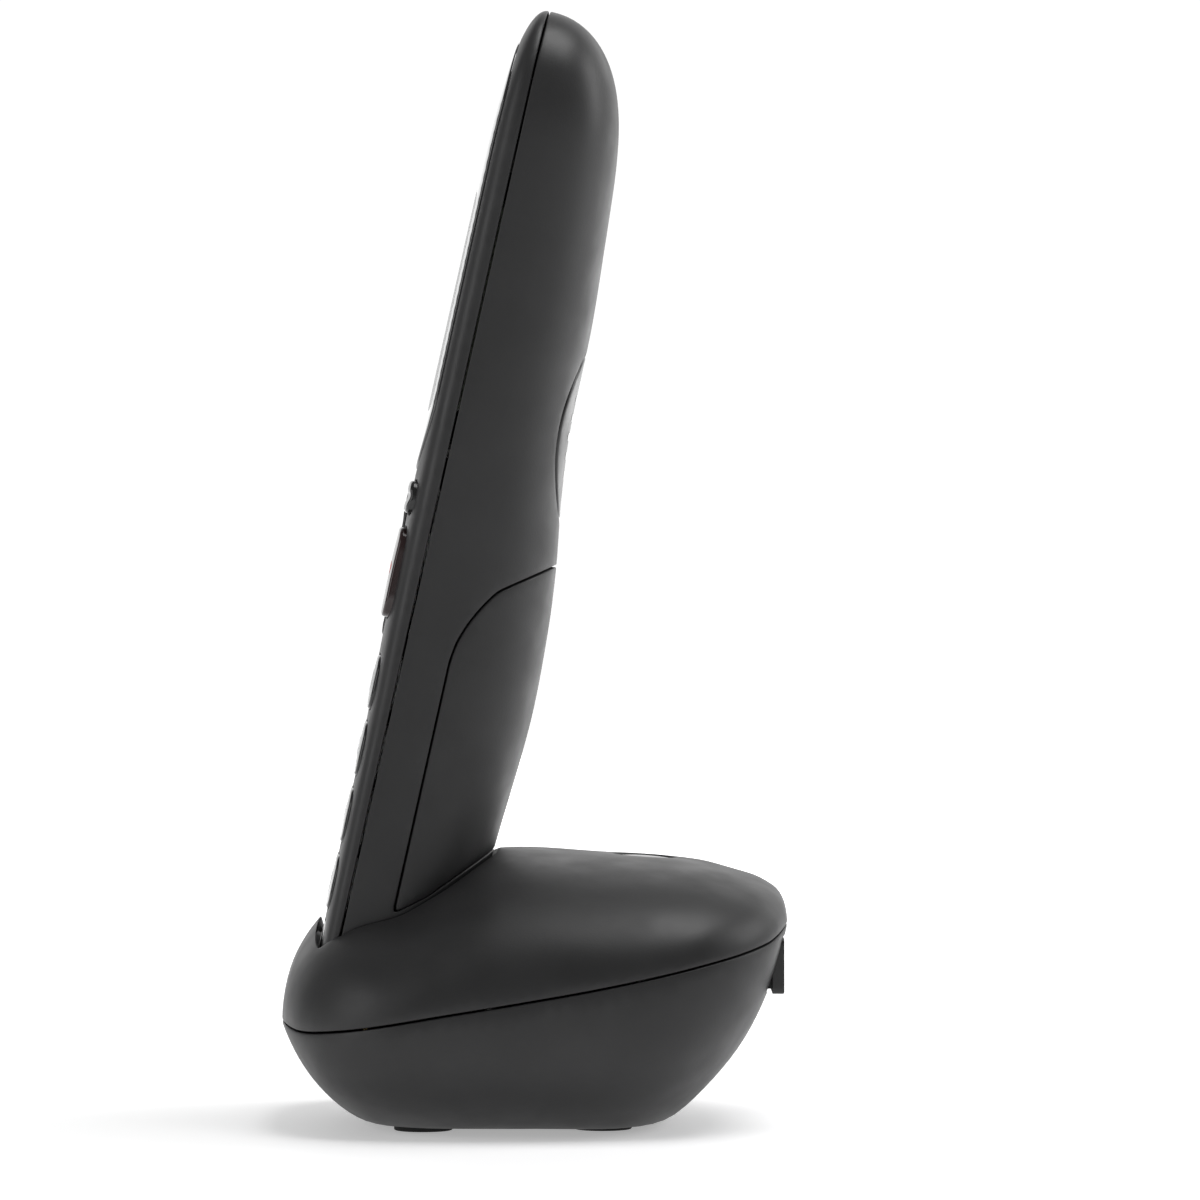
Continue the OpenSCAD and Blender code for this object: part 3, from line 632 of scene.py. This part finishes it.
LOOKS = {
    "lcd_module": lcd_mat, "earpiece_speaker": cone, "loudspeaker": cone, "microphone": steel,
    "keypad_mat": silicone, "handset_pcb": board_mat, "handset_shield": steel,
    "battery_left": cell_mat, "battery_right": cell_mat, "battery_contacts": gold,
    "handset_contacts": gold, "handset_screws": steel, "page_switch": socket_black,
    "base_pcb": board_mat, "base_shield": steel, "charge_pin_left": gold,
    "charge_pin_right": gold, "base_screws": steel,
}

# ------------------------------------------------------------------ handset shells

front, back = Half(-1), Half(1)
PLATE_AT, PLATE_SIZE = (0, 106.5), (40, 68.2)
LENS_AT, GRILLE_AT, INLAY_AT = (0, 99.2), (0, 130.5), (0, 82.7)


def on(half, loop, at):
    """A loop drawn over (x, s), unrolled on a half of the handset, anticlockwise there."""
    pq = half.at_x(loop[:, 0] + at[0], loop[:, 1] + at[1])
    return pq if half.side < 0 else pq[::-1]


ROW = [39.25 - 10.45 * i for i in range(4)]
LOW = 39.25 - 3.5 * 10.45 - 1 - 3.4
KEYS = {}
for index, node in enumerate(("1", "2", "3", "4", "5", "6", "7", "8", "9", "star", "0", "hash")):
    KEYS[f"key_{node}"] = ((13.6 * (index % 3 - 1), ROW[index // 3]), (11.4, 8.4), 3.0, 0.45)
for index, node in enumerate(("redial", "mute", "volume")):
    KEYS[f"key_{node}"] = ((13.6 * (index - 1), LOW), (10.6, 6.8), 2.6, 0.2)
KEYS["soft_key_left"] = ((-15, 68.2), (9, 5), 2.2, 0.85)
KEYS["soft_key_right"] = ((15, 68.2), (9, 5), 2.2, 0.85)
KEYS["nav_key"] = ((0, 63.6), (14, 13), 4.0, 0.85)
KEYS["talk_key"] = ((-14, 56.4), (10.4, 14), 3.0, 1.0)
KEYS["end_key"] = ((14, 56.4), (10.4, 14), 3.0, 1.0)
KEYS["int_key"] = ((0, 48.6), (9, 4.6), 2.0, 0.45)

openings = [on(front, rounded(w + 0.6, l + 0.6, r + 0.3), at)
            for at, (w, l), r, _ in KEYS.values()]
openings.append(on(front, rounded(PLATE_SIZE[0] + 0.6, PLATE_SIZE[1] + 0.6, 12.3), PLATE_AT))
piece("front_shell_skin", patch(front, front.outline(), openings, 1.6, 1.1, 0.22, 0.16),
      "handset", shell, ["front_shell"])

raised = Half(-1, 0.0, 0.3)
plate_holes = [on(raised, rounded(33.3, 35.7, 3.1), LENS_AT),
               on(raised, rounded(17.2, 4.4, 2.1), GRILLE_AT)]
piece("faceplate_gloss",
      patch(raised, on(raised, rounded(*PLATE_SIZE, 12), PLATE_AT), plate_holes, 1.4, 1.1, 0.3,
            0.15),
      "handset", plate, ["faceplate"])


TONGUE = [(0, 42.2), (7, 42.2), (12, 41.5), (15, 40.6), (17, 39.65), (18.5, 38.7), (20, 37.4),
          (21, 36.3)]


def cover_loop(grow, lift):
    """Outline of the battery cover on the back, anticlockwise in (p, q)."""
    def low(t):
        return 5.7 - grow + (t - 7.3 + grow) * math.tan(math.radians(37.6))

    def high(t, _=0):
        return 56.7 + grow + (t - 12 + grow / 2) * 0.7357

    def tongue(t, x):
        z = np.interp(np.abs(x), *np.array(TONGUE).T) + lift
        return (z - DOCK[2] + t * math.sin(TILT)) / math.cos(TILT)

    def across(x, line):
        s = np.full(len(x), 30.0)
        for _ in range(30):
            w, d = back.depth(s)
            s = line(d * (1 - np.clip(np.abs(x) / w, 0, 1) ** BACK_N) ** (1 / BACK_N), x)
        return back.at_x(x, s)

    def half(hand):
        x = np.linspace(0, 21, 42) * hand
        parts = [across(x, tongue)]
        w, d = back.depth(parts[0][-1:, 1])
        t1 = float((d * (1 - (21 / w) ** BACK_N) ** (1 / BACK_N))[0])
        t = np.linspace(t1, 7.3 - grow, 12)
        parts.append(back.at_depth(t, low(t), hand))
        s = np.concatenate([np.linspace(5.7 - grow, 45, 60), np.linspace(45.5, 56.7 + grow, 20)])
        t = np.interp(s, [45, 48, 51, 54, 56.7 + grow],
                      [7.3 - grow, 7.7 - grow, 8.7 - grow, 10.2 - grow, 12 - grow / 2])
        parts.append(back.at_depth(t, s, hand))
        t = np.linspace(12 - grow / 2, 15.5, 12)
        parts.append(back.at_depth(t, high(t), hand))
        x1 = back.point(parts[-1][-1:])[0, 0]
        parts.append(across(np.linspace(x1, 0, 40), high))
        return np.concatenate(parts)

    right, left = half(-1), half(1)
    return soften(even(np.concatenate([right, left[::-1]]), 0.6), 3)


hole = cover_loop(0.3, 0.0)
oval = on(back, rounded(28.4, 27.4, 13.2), INLAY_AT)
back_mesh = patch(back, back.outline(), [hole, oval], 1.6, 1.3, 0.22, 0.2)


def foot_plate(half, inset_by=0.35):
    w, b, f = (float(v) for v in section(np.array([-HAND_FOOT]))[0:3])
    t = np.linspace(0.0, math.pi, 90)
    x, y = half.ring(t, w - inset_by, (b if half.side > 0 else f) - inset_by)
    loop = np.stack([x, half.side * np.maximum(y, 0.2)], 1)
    return prism(loop if half.side > 0 else loop[::-1],
                 lambda l, h: np.stack([l[:, 0], l[:, 1], h], 1), -HAND_FOOT + 0.06, -9.0, 0.15)


back_mesh.join(foot_plate(back))
w56, b56, _ = (float(v) for v in section(np.array([56.0])))
turn = np.linspace(0, math.pi, 90)
wall_x, wall_y = back.ring(turn, w56 - 1.7, b56 - 1.7)
wall = np.stack([wall_x, np.clip(wall_y, 4.4, 16.8)], 1)
back_mesh.join(prism(wall, lambda l, h: np.stack([l[:, 0], l[:, 1], h], 1), 55.4, 57.0, 0.2))
back_mesh.join(prism(rounded(41.6, 66, 6, 1.0), lambda l, h: np.stack([l[:, 0], h, l[:, 1] + 24.5], 1),
                     4.4, 6.0, 0.2))
for x in (-11.0, 0.0, 11.0):
    rib = rounded(1.0, 44, 0.4, 0.5) + [x, 30.5]
    back_mesh.join(prism(rib, lambda l, h: np.stack([l[:, 0], h, l[:, 1]], 1), 5.8, 6.35, 0.1))
piece("back_shell_skin", back_mesh, "handset", shell, ["back_shell"])

cover_mesh = patch(back, cover_loop(0.0, 0.3), [], 1.6, 1.3, 0.22)
piece("battery_cover_skin", cover_mesh, "cover", shell, ["battery_cover"])

# The sunk seat seen in the gap around the inlay is near-black, darker than the shell: painted shade in
# that gap.
seat = Half(1, 0.75)
piece("rear_inlay_seat_painted_shade",
      patch(seat, on(seat, rounded(29.8, 28.8, 13.9), INLAY_AT),
            [on(seat, rounded(25.4, 24.4, 11.7), INLAY_AT)], 0.6, 1.0, 0.1),
      "handset", socket_black, [])
slots = [on(back, rounded(14 - 2 * abs(i), 1.2, 0.58, 0.3), (0, 82.7 + 3 * i)) for i in range(-2, 3)]
piece("rear_inlay_grille",
      patch(back, on(back, rounded(26.6, 25.6, 12.3), INLAY_AT), slots, 1.2, 1.0, 0.45, 0.12),
      "handset", inlay, ["rear_inlay"])


# ------------------------------------------------------------------ display and keys


def face(s):
    """Height of the front on the centre line."""
    rise = (np.asarray(s, float) - TOP_START) / (HAND_TOP - TOP_START)
    return curve(FRONT, s) * round_off(rise, 2.5, 2.2)


def side_drop(x):
    """How far the front falls away from the centre line at x."""
    return 4 * (1 - (1 - (np.abs(x) / (HAND_W / 2)) ** FRONT_N) ** (1 / FRONT_N))


def facing(at):
    """Places (x, s) points at a height before the handset's seam."""
    return lambda l, h: np.stack([l[:, 0] + at[0], -np.broadcast_to(h, len(l)), l[:, 1] + at[1]], 1)


class Flat:
    """Level sheet facing the front, at one height."""

    def __init__(self, height, at):
        self.height, self.at = height, at

    def point(self, pq):
        return np.stack([pq[:, 0] + self.at[0], np.full(len(pq), -self.height),
                         pq[:, 1] + self.at[1]], 1)


lens_face = float(face(LENS_AT[1]))
piece("display_window",
      cap(lambda d: rounded(33 - 2 * d, 35.4 - 2 * d, 3 - d, count=120), facing(LENS_AT),
          lens_face + 0.3 - float(side_drop(15.5)), lens_face - 1.1, 0.2),
      "handset", lens_mat, ["display_lens"])
window = rounded(27, 24, 1.2) + [0, 0.5]
piece("display_mask", patch(Flat(lens_face - 1.15, LENS_AT), rounded(32.8, 35.2, 2.9), [window],
                            0.35, 1.5, 0.08),
      "handset", mask_ink, [])
grille_face = float(face(GRILLE_AT[1])) - 0.1
holes = [rounded(2.4, 1.4, 0.6, 0.25) + [x, 0] for x in (-4, 0, 4)]
piece("earpiece_slots", patch(Flat(grille_face, GRILLE_AT), rounded(17, 4.2, 2), holes, 0.8, 0.6,
                              0.15, 0.1),
      "handset", inlay, ["earpiece_grille"])


def key_top(name):
    """Height of a key's top over (x, s), counted from the key's middle."""
    at, (w, l), _, proud = KEYS[name]
    top = float(face(at[1])) + proud - float(side_drop(at[0]))
    lobes = name.startswith("soft") or name == "nav_key"

    def sink(x, s):
        fall = np.maximum(side_drop(x + at[0]) - side_drop(at[0]), 0) * 0.85
        fall = fall + 0.12 * (2 * x / w) ** 2 + 0.14 * (2 * s / l) ** 2
        if lobes:
            fall = fall + 0.3 * np.exp(-((s / (0.16 * l)) ** 2))
        return fall
    return top, sink


def band(points, widths, place, height, thick=0.14):
    """Raised printed line over (x, s): a closed flat tube along the points."""
    mesh = Mesh()
    p = np.array(points, float)
    along = np.gradient(p, axis=0)
    out = np.stack([along[:, 1], -along[:, 0]], 1)
    out /= np.maximum(np.linalg.norm(out, axis=1), 1e-9)[:, None]
    half = out * (np.array(widths, float) / 2)[:, None]
    left, right = p - half, p + half
    rings = [mesh.add(place(left, height(left) - thick)), mesh.add(place(right, height(right) - thick)),
             mesh.add(place(right, height(right))), mesh.add(place(left, height(left)))]
    n = len(p)
    for a, b in zip(rings, rings[1:] + rings[:1]):
        for i in range(n - 1):
            mesh.faces.append((a + i, a + i + 1, b + i + 1, b + i))
    mesh.faces.append(tuple(r for r in rings))
    mesh.faces.append(tuple(r + n - 1 for r in reversed(rings)))
    return mesh


def glyph(text, size, place, height, thick=0.14):
    """Raised printed character over (x, s)."""
    data = bpy.data.curves.new("glyph", "FONT")
    data.body = text
    data.size = size
    data.align_x, data.align_y = "CENTER", "CENTER"
    data.resolution_u = 6
    data.extrude = thick / 2
    obj = bpy.data.objects.new("glyph", data)
    bpy.context.scene.collection.objects.link(obj)
    bpy.context.view_layer.update()
    made = bpy.data.meshes.new_from_object(obj.evaluated_get(bpy.context.evaluated_depsgraph_get()))
    co = np.array([v.co for v in made.vertices], float).reshape(-1, 3)
    mesh = Mesh()
    mesh.add(place(co[:, :2], height(co[:, :2]) - thick / 2 + co[:, 2]))
    mesh.faces = [tuple(f.vertices) for f in made.polygons]
    bpy.data.objects.remove(obj)
    bpy.data.meshes.remove(made)
    bpy.data.curves.remove(data)
    return mesh


def arc(radius, start, end, count=14, at=(0, 0)):
    a = np.radians(np.linspace(start, end, count))
    return np.stack([at[0] + radius * np.cos(a), at[1] + radius * np.sin(a)], 1)


def print_on(name, place, height):
    """The generic legend of a key."""
    label = {"key_star": "*", "key_hash": "#"}.get(name, name[4:] if name[4:].isdigit() else "")
    if label:
        return glyph(label, 6.5 if label == "*" else 4.6, place, height)
    if name in ("talk_key", "end_key"):
        line = arc(2.6, 35, 145, 18, (0, -1.4))
        if name == "talk_key":
            line = np.stack([-line[:, 1], line[:, 0]], 1)
        ends = np.abs(np.linspace(-1, 1, 18))
        return band(line, 0.8 + 0.9 * (ends > 0.7), place, height)
    if name == "nav_key":
        mesh = band([(0, 5.2), (0, 3.8)], [0.1, 2.2], place, height)
        return mesh.join(band([(0, -5.2), (0, -3.8)], [0.1, 2.2], place, height))
    if name.startswith("soft"):
        return band([(-1.4, 1.4), (1.4, 1.4)], [0.4, 0.4], place, height)
    if name == "int_key":
        mesh = band([(-2.2, -0.5), (2.2, -0.5)], [0.35, 0.35], place, height)
        return mesh.join(band([(-1.3, 0.7), (1.3, 0.7)], [0.35, 0.35], place, height))
    if name == "key_redial":
        mesh = band(arc(1.5, 60, 330, 20), [0.4] * 20, place, height)
        return mesh.join(band([(0.2, 1.45), (1.4, 1.1)], [1.3, 0.1], place, height))
    if name == "key_mute":
        mesh = band([(0, -0.4), (0, 1.8)], [1.2, 1.2], place, height)
        return mesh.join(band([(-1.2, -1.5), (1.2, -1.5)], [0.35, 0.35], place, height))
    mesh = band([(-1.8, 0), (-0.4, 0)], [0.8, 2.6], place, height)
    for r in (1.2, 2.1):
        mesh.join(band(arc(r, -50, 50, 10), [0.35] * 10, place, height))
    return mesh


for name, (at, (w, l), r, proud) in KEYS.items():
    top, sink = key_top(name)
    roll = 0.3 if proud < 0.4 else 0.45

    def outline(d, w=w, l=l, r=r):
        return rounded(w - 2 * d, l - 2 * d, max(r - d, 0.4), count=72)

    body = f"{name}_body"
    mesh = cap(outline, facing(at), top, 0.35, roll, sink)
    piece(f"{name}_cap", mesh, body, red_keys if name == "end_key" else keys, [name],
          sharp=60)
    ink = {"talk_key": green_ink, "end_key": red_ink}.get(name, print_ink)
    legend = print_on(name, facing(at),
                      lambda l, top=top, sink=sink: top + 0.03 - sink(l[:, 0], l[:, 1]))
    piece(f"{name}_print", legend, body, ink, [], sharp=30)


# ------------------------------------------------------------------ base shells

dome, bowl = Pebble(True), Pebble(False)


def in_pocket(points, gap):
    """Below 0 inside the handset's pocket, for points in the shared frame."""
    p = undocked(points)
    w, b, f = section(p[:, 2], gap, 0.35)
    n = np.where(p[:, 1] < 0, FRONT_N, BACK_N)
    d = np.where(p[:, 1] < 0, f, b)
    return (np.abs(p[:, 0]) / w) ** n + (np.abs(p[:, 1]) / d) ** n - 1


def star(test, centre, reach, count):
    """Loop round a plan point where test turns from inside to outside."""
    a = np.linspace(0, 2 * math.pi, count, endpoint=False)
    way = np.stack([np.cos(a), np.sin(a)], 1)
    low, high = np.zeros(count), np.full(count, float(reach))
    for _ in range(45):
        mid = (low + high) / 2
        inside = test(centre + way * mid[:, None]) < 0
        low, high = np.where(inside, mid, low), np.where(inside, high, mid)
    return centre + way * low[:, None]


def dome_test(xy):
    """Below zero where the dome's surface lies inside the pocket."""
    return in_pocket(np.stack([xy[:, 0], xy[:, 1], dome.z(xy[:, 0], xy[:, 1])], 1), 0.6)


mouth = even(star(dome_test, np.array([0.0, -16.0]), 27.5, 720), 0.6)
PAGE = (0.0, 17.0)
PAGE_R, PAGE_HOLE_R, FOOT_R = 4.5, 4.8, 4.5
turn = np.linspace(0, 2 * math.pi, 72, endpoint=False)
page_hole = np.stack([PAGE_HOLE_R * np.cos(turn), PAGE[1] + PAGE_HOLE_R * np.sin(turn)], 1)
upper = patch(dome, dome.outline(), [dome.at(mouth[:, 0], mouth[:, 1]),
                                     dome.at(page_hole[:, 0], page_hole[:, 1])],
              2.0, 1.3, 0.25, 0.45, [-AXIS, np.array([0, 0, -1.0])])
piece("base_upper_skin", upper, "base", shell, ["base_upper_shell"], frame_of=None)

cup = Mesh()
spokes = np.linspace(0, 2 * math.pi, 144, endpoint=False)


def cup_ring(s, gap):
    """Points of the handset's section at s, grown by gap, one at each spoke."""
    s = np.asarray(s, float)
    w, b, f = section(s, gap, 0.35)
    c, k = np.cos(spokes), np.sin(spokes)
    n = np.where(k < 0, FRONT_N, BACK_N)
    r = (np.abs(c) ** n + np.abs(k) ** n) ** (-1 / n)
    return np.stack([w * c * r, np.where(k < 0, f, b) * k * r, np.broadcast_to(s, len(spokes))], 1)


def cup_top(gap):
    """How far up the pocket's wall reaches, at each spoke, under the dome."""
    low, high = np.full(len(spokes), -6.0), np.full(len(spokes), 45.0)
    for _ in range(40):
        mid = (low + high) / 2
        p = docked(cup_ring(mid, gap))
        under = p[:, 2] < dome.z(p[:, 0], p[:, 1])
        low, high = np.where(under, mid, low), np.where(under, high, mid)
    return low


tops = cup_top(0.66) - 0.9
outer_tops = np.minimum(cup_top(2.0) - 2.2, tops)
rows = []
for gap, floor, tops_of in ((2.1, -12.7, outer_tops), (0.64, -11.1, tops)):
    levels = [floor + (tops_of - floor) * k for k in (0.04, 0.1, 0.2, 0.35, 0.5, 0.65, 0.8, 0.9, 1.0)]
    ring_list = [cup.add(cup_ring(level, gap)) for level in levels]
    rows.append(ring_list)
    base_ring = cup_ring(levels[0], gap)
    middle = base_ring.mean(0)
    previous = ring_list[0]
    for k, drop in ((0.97, 0.6), (0.9, 1.0), (0.5, 1.0)):
        ring = middle + (base_ring - middle) * k
        ring[:, 2] = base_ring[:, 2] + (floor - base_ring[:, 2]) * drop
        at = cup.add(ring)
        cup.strip(previous, at, len(spokes))
        previous = at
    tip = cup.add([[middle[0], middle[1], floor]])
    for i in range(len(spokes)):
        cup.faces.append((previous + i, previous + (i + 1) % len(spokes), tip))
    for a, b in zip(ring_list[:-1], ring_list[1:]):
        cup.strip(a, b, len(spokes))
cup.strip(rows[0][-1], rows[1][-1], len(spokes))
piece("charging_pocket", cup, "base", pocket, [])

PANEL_Y, PANEL_Z = (36.4, 38.4), (20.8, 29.4)
frame_loop = rounded(36.2, 8.8, 0.8, 0.5)


def rear_spot(xz):
    """Plan points where the bottom shell passes the heights on its rear."""
    x, z = xz[:, 0], xz[:, 1] + (PANEL_Z[0] + PANEL_Z[1]) / 2
    edge = HALF_L * (1 - (np.abs(x) / HALF_W) ** 3) ** (1 / 3)
    low, high = np.full(len(x), 20.0), edge - 1e-4
    for _ in range(50):
        mid = (low + high) / 2
        below = bowl.z(x, mid) < z
        low, high = np.where(below, mid, low), np.where(below, high, mid)
    return np.stack([x, low], 1)


rear = rear_spot(frame_loop)
rear_hole = bowl.at(rear[:, 0], rear[:, 1])
if ((rear_hole[:, 0] * np.roll(rear_hole[:, 1], -1)
     - rear_hole[:, 1] * np.roll(rear_hole[:, 0], -1)).sum()) < 0:
    rear_hole = rear_hole[::-1]
lower = patch(bowl, bowl.outline(), [rear_hole], 2.0, 1.4, 0.25, 0.25, [np.array([0, -1.0, 0])])
piece("base_lower_skin", lower, "base", shell, ["base_lower_shell"], frame_of=None)


class Wall:
    """Upright sheet facing the rear."""

    def point(self, pq):
        return np.stack([-pq[:, 0], np.full(len(pq), PANEL_Y[1]), pq[:, 1]], 1)


middle_z = (PANEL_Z[0] + PANEL_Z[1]) / 2
mouths = [rounded(11.8, 7.6, 0.3, 0.5) + [x, middle_z] for x in (-8.5, 8.5)]
panel = patch(Wall(), rounded(36, 8.6, 0.7) + [0, middle_z], mouths, 1.8, 1.0, 0.2, 0.12)
piece("rear_panel_plate", panel, "base", socket_black, ["rear_panel"],
      frame_of=None)
for side, node in ((1, "line_socket"), (-1, "power_socket")):
    springs = Mesh()
    count = 6 if side > 0 else 2
    for i in range(count):
        x = side * 8.5 + (i - (count - 1) / 2) * 1.1
        loop = np.array([(30.5, 24.2), (36.6, 27.2), (36.9, 26.9), (30.8, 23.8)])
        springs.join(prism(even(loop, 0.4), lambda l, h: np.stack([h, l[:, 0], l[:, 1]], 1),
                           x - 0.2, x + 0.2, 0.05))
    piece(f"{node}_springs", springs, "base", gold, [], frame_of=None)

page_z = float(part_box("paging_key")[1].z) * 1000


def page_outline(d):
    return np.stack([(PAGE_R - d) * np.cos(turn), (PAGE_R - d) * np.sin(turn)], 1)


def page_place(l, h):
    return np.stack([l[:, 0], l[:, 1] + PAGE[1], np.broadcast_to(h, len(l))], 1)


page_slope = float(dome.z(np.array([0.0]), np.array([19.0]))[0]
                   - dome.z(np.array([0.0]), np.array([15.0]))[0]) / 4
piece("paging_key_cap",
      cap(page_outline, page_place, page_z, page_z - 3.0, 0.5,
          lambda x, y: np.maximum(y * -page_slope, -0.9) * 0.9 + 0.012 * (x * x + y * y)),
      "paging_key_body", keys, ["paging_key"], frame_of=None, sharp=60)

FEET = [(x * sx, y) for x, y in ((18, -17), (16, 10.5)) for sx in (1, -1)]
feet = Mesh()
for x, y in FEET:
    feet.join(cap(lambda d: np.stack([(FOOT_R - d) * np.cos(turn), (FOOT_R - d) * np.sin(turn)], 1),
                  lambda l, h, x=x, y=y: np.stack([l[:, 0] + x, l[:, 1] + y,
                                                   -np.broadcast_to(h, len(l))], 1),
                  0.0, -1.3, 0.25))
piece("rubber_feet", feet, "base", rubber, ["base_feet"], frame_of=None)

for node in ("line_socket", "power_socket"):
    LOOKS[node] = socket_black
for node, look in LOOKS.items():
    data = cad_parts[node].data
    data.materials.clear()
    data.materials.append(look)


# ------------------------------------------------------------------ floor, light and camera

# The floor glows, and its glow is turned down near the phone: a painted soft shadow around the phone.
FLOOR_HALF = 20
GLOW_WITH_PAINTED_SHADOW = {"From Min": 0.06, "From Max": 0.7, "To Min": 0.36, "To Max": 0.9}
floor_mat, tree, shader = material("floor", Emission_Color=(1, 1, 1, 1))
spot = tree.nodes.new("ShaderNodeTexCoord")
length = tree.nodes.new("ShaderNodeVectorMath")
length.operation = "LENGTH"
tree.links.new(spot.outputs["Object"], length.inputs[0])
painted_shadow_glow = tree.nodes.new("ShaderNodeMapRange")
painted_shadow_glow.interpolation_type = "SMOOTHSTEP"
for name, value in GLOW_WITH_PAINTED_SHADOW.items():
    painted_shadow_glow.inputs[name].default_value = value
tree.links.new(length.outputs["Value"], painted_shadow_glow.inputs["Value"])
tree.links.new(painted_shadow_glow.outputs["Result"], shader.inputs["Emission Strength"])
tree.links.new(ramp(tree, noise(tree, 3.0), (0.86, 0.86, 0.87), (0.88, 0.88, 0.88)),
               shader.inputs["Base Color"])
tree.links.new(spread(tree, noise(tree, 8.0), 0.55, 0.65), shader.inputs["Roughness"])
data = bpy.data.meshes.new("floor")
corners = ((-1, -1), (1, -1), (1, 1), (-1, 1))
data.from_pydata([(x * FLOOR_HALF, y * FLOOR_HALF, 0) for x, y in corners], [], [(0, 1, 2, 3)])
floor = bpy.data.objects.new("floor", data)
bpy.context.scene.collection.objects.link(floor)
data.materials.append(floor_mat)

# The world lights the phone softly but looks white to the camera.
WORLD_LIGHT, WORLD_SEEN = 0.21, 1.05
world = bpy.data.worlds.new("studio")
bpy.context.scene.world = world
world.use_nodes = True
tree = world.node_tree
backdrop = tree.nodes["Background"]
backdrop.inputs["Color"].default_value = (1, 1, 1, 1)
path = tree.nodes.new("ShaderNodeLightPath")
strength = tree.nodes.new("ShaderNodeMapRange")
strength.inputs["To Min"].default_value = WORLD_LIGHT
strength.inputs["To Max"].default_value = WORLD_SEEN
tree.links.new(path.outputs["Is Camera Ray"], strength.inputs["Value"])
tree.links.new(strength.outputs["Result"], backdrop.inputs["Strength"])
bpy.context.scene.view_settings.view_transform = "Standard"


def softbox(name, place, target, size, power):
    data = bpy.data.lights.new(name, "AREA")
    data.shape = "RECTANGLE"
    data.size, data.size_y = size
    data.energy = power
    obj = bpy.data.objects.new(name, data)
    bpy.context.scene.collection.objects.link(obj)
    obj.location = place
    obj.rotation_euler = (Vector(target) - Vector(place)).to_track_quat("-Z", "Y").to_euler()


MIDDLE = (0, 0.01, 0.08)
softbox("softbox_far", (-1.6, 0.1, 0.55), (0, 0.05, 0.25), (2.4, 1.2), 9.5)
softbox("softbox_top", (0.0, 0.25, 0.9), MIDDLE, (0.6, 0.5), 4.6)
softbox("softbox_rear", (-0.25, 0.8, 0.45), MIDDLE, (0.4, 0.5), 2.4)
softbox("softbox_front", (0.3, -0.8, 0.35), MIDDLE, (0.4, 0.5), 1.5)

camera = bpy.data.objects.new("camera", bpy.data.cameras.new("camera"))
bpy.context.scene.collection.objects.link(camera)
bpy.context.scene.camera = camera
camera.data.lens, camera.data.sensor_width = 200.0, 36.0
aim = Vector((0, 0.0101, 0.0811))
lift = math.radians(0.6)
reach = 1.04
camera.location = aim + Vector((reach * math.cos(lift), 0, reach * math.sin(lift)))
camera.rotation_euler = (aim - camera.location).to_track_quat("-Z", "Y").to_euler()
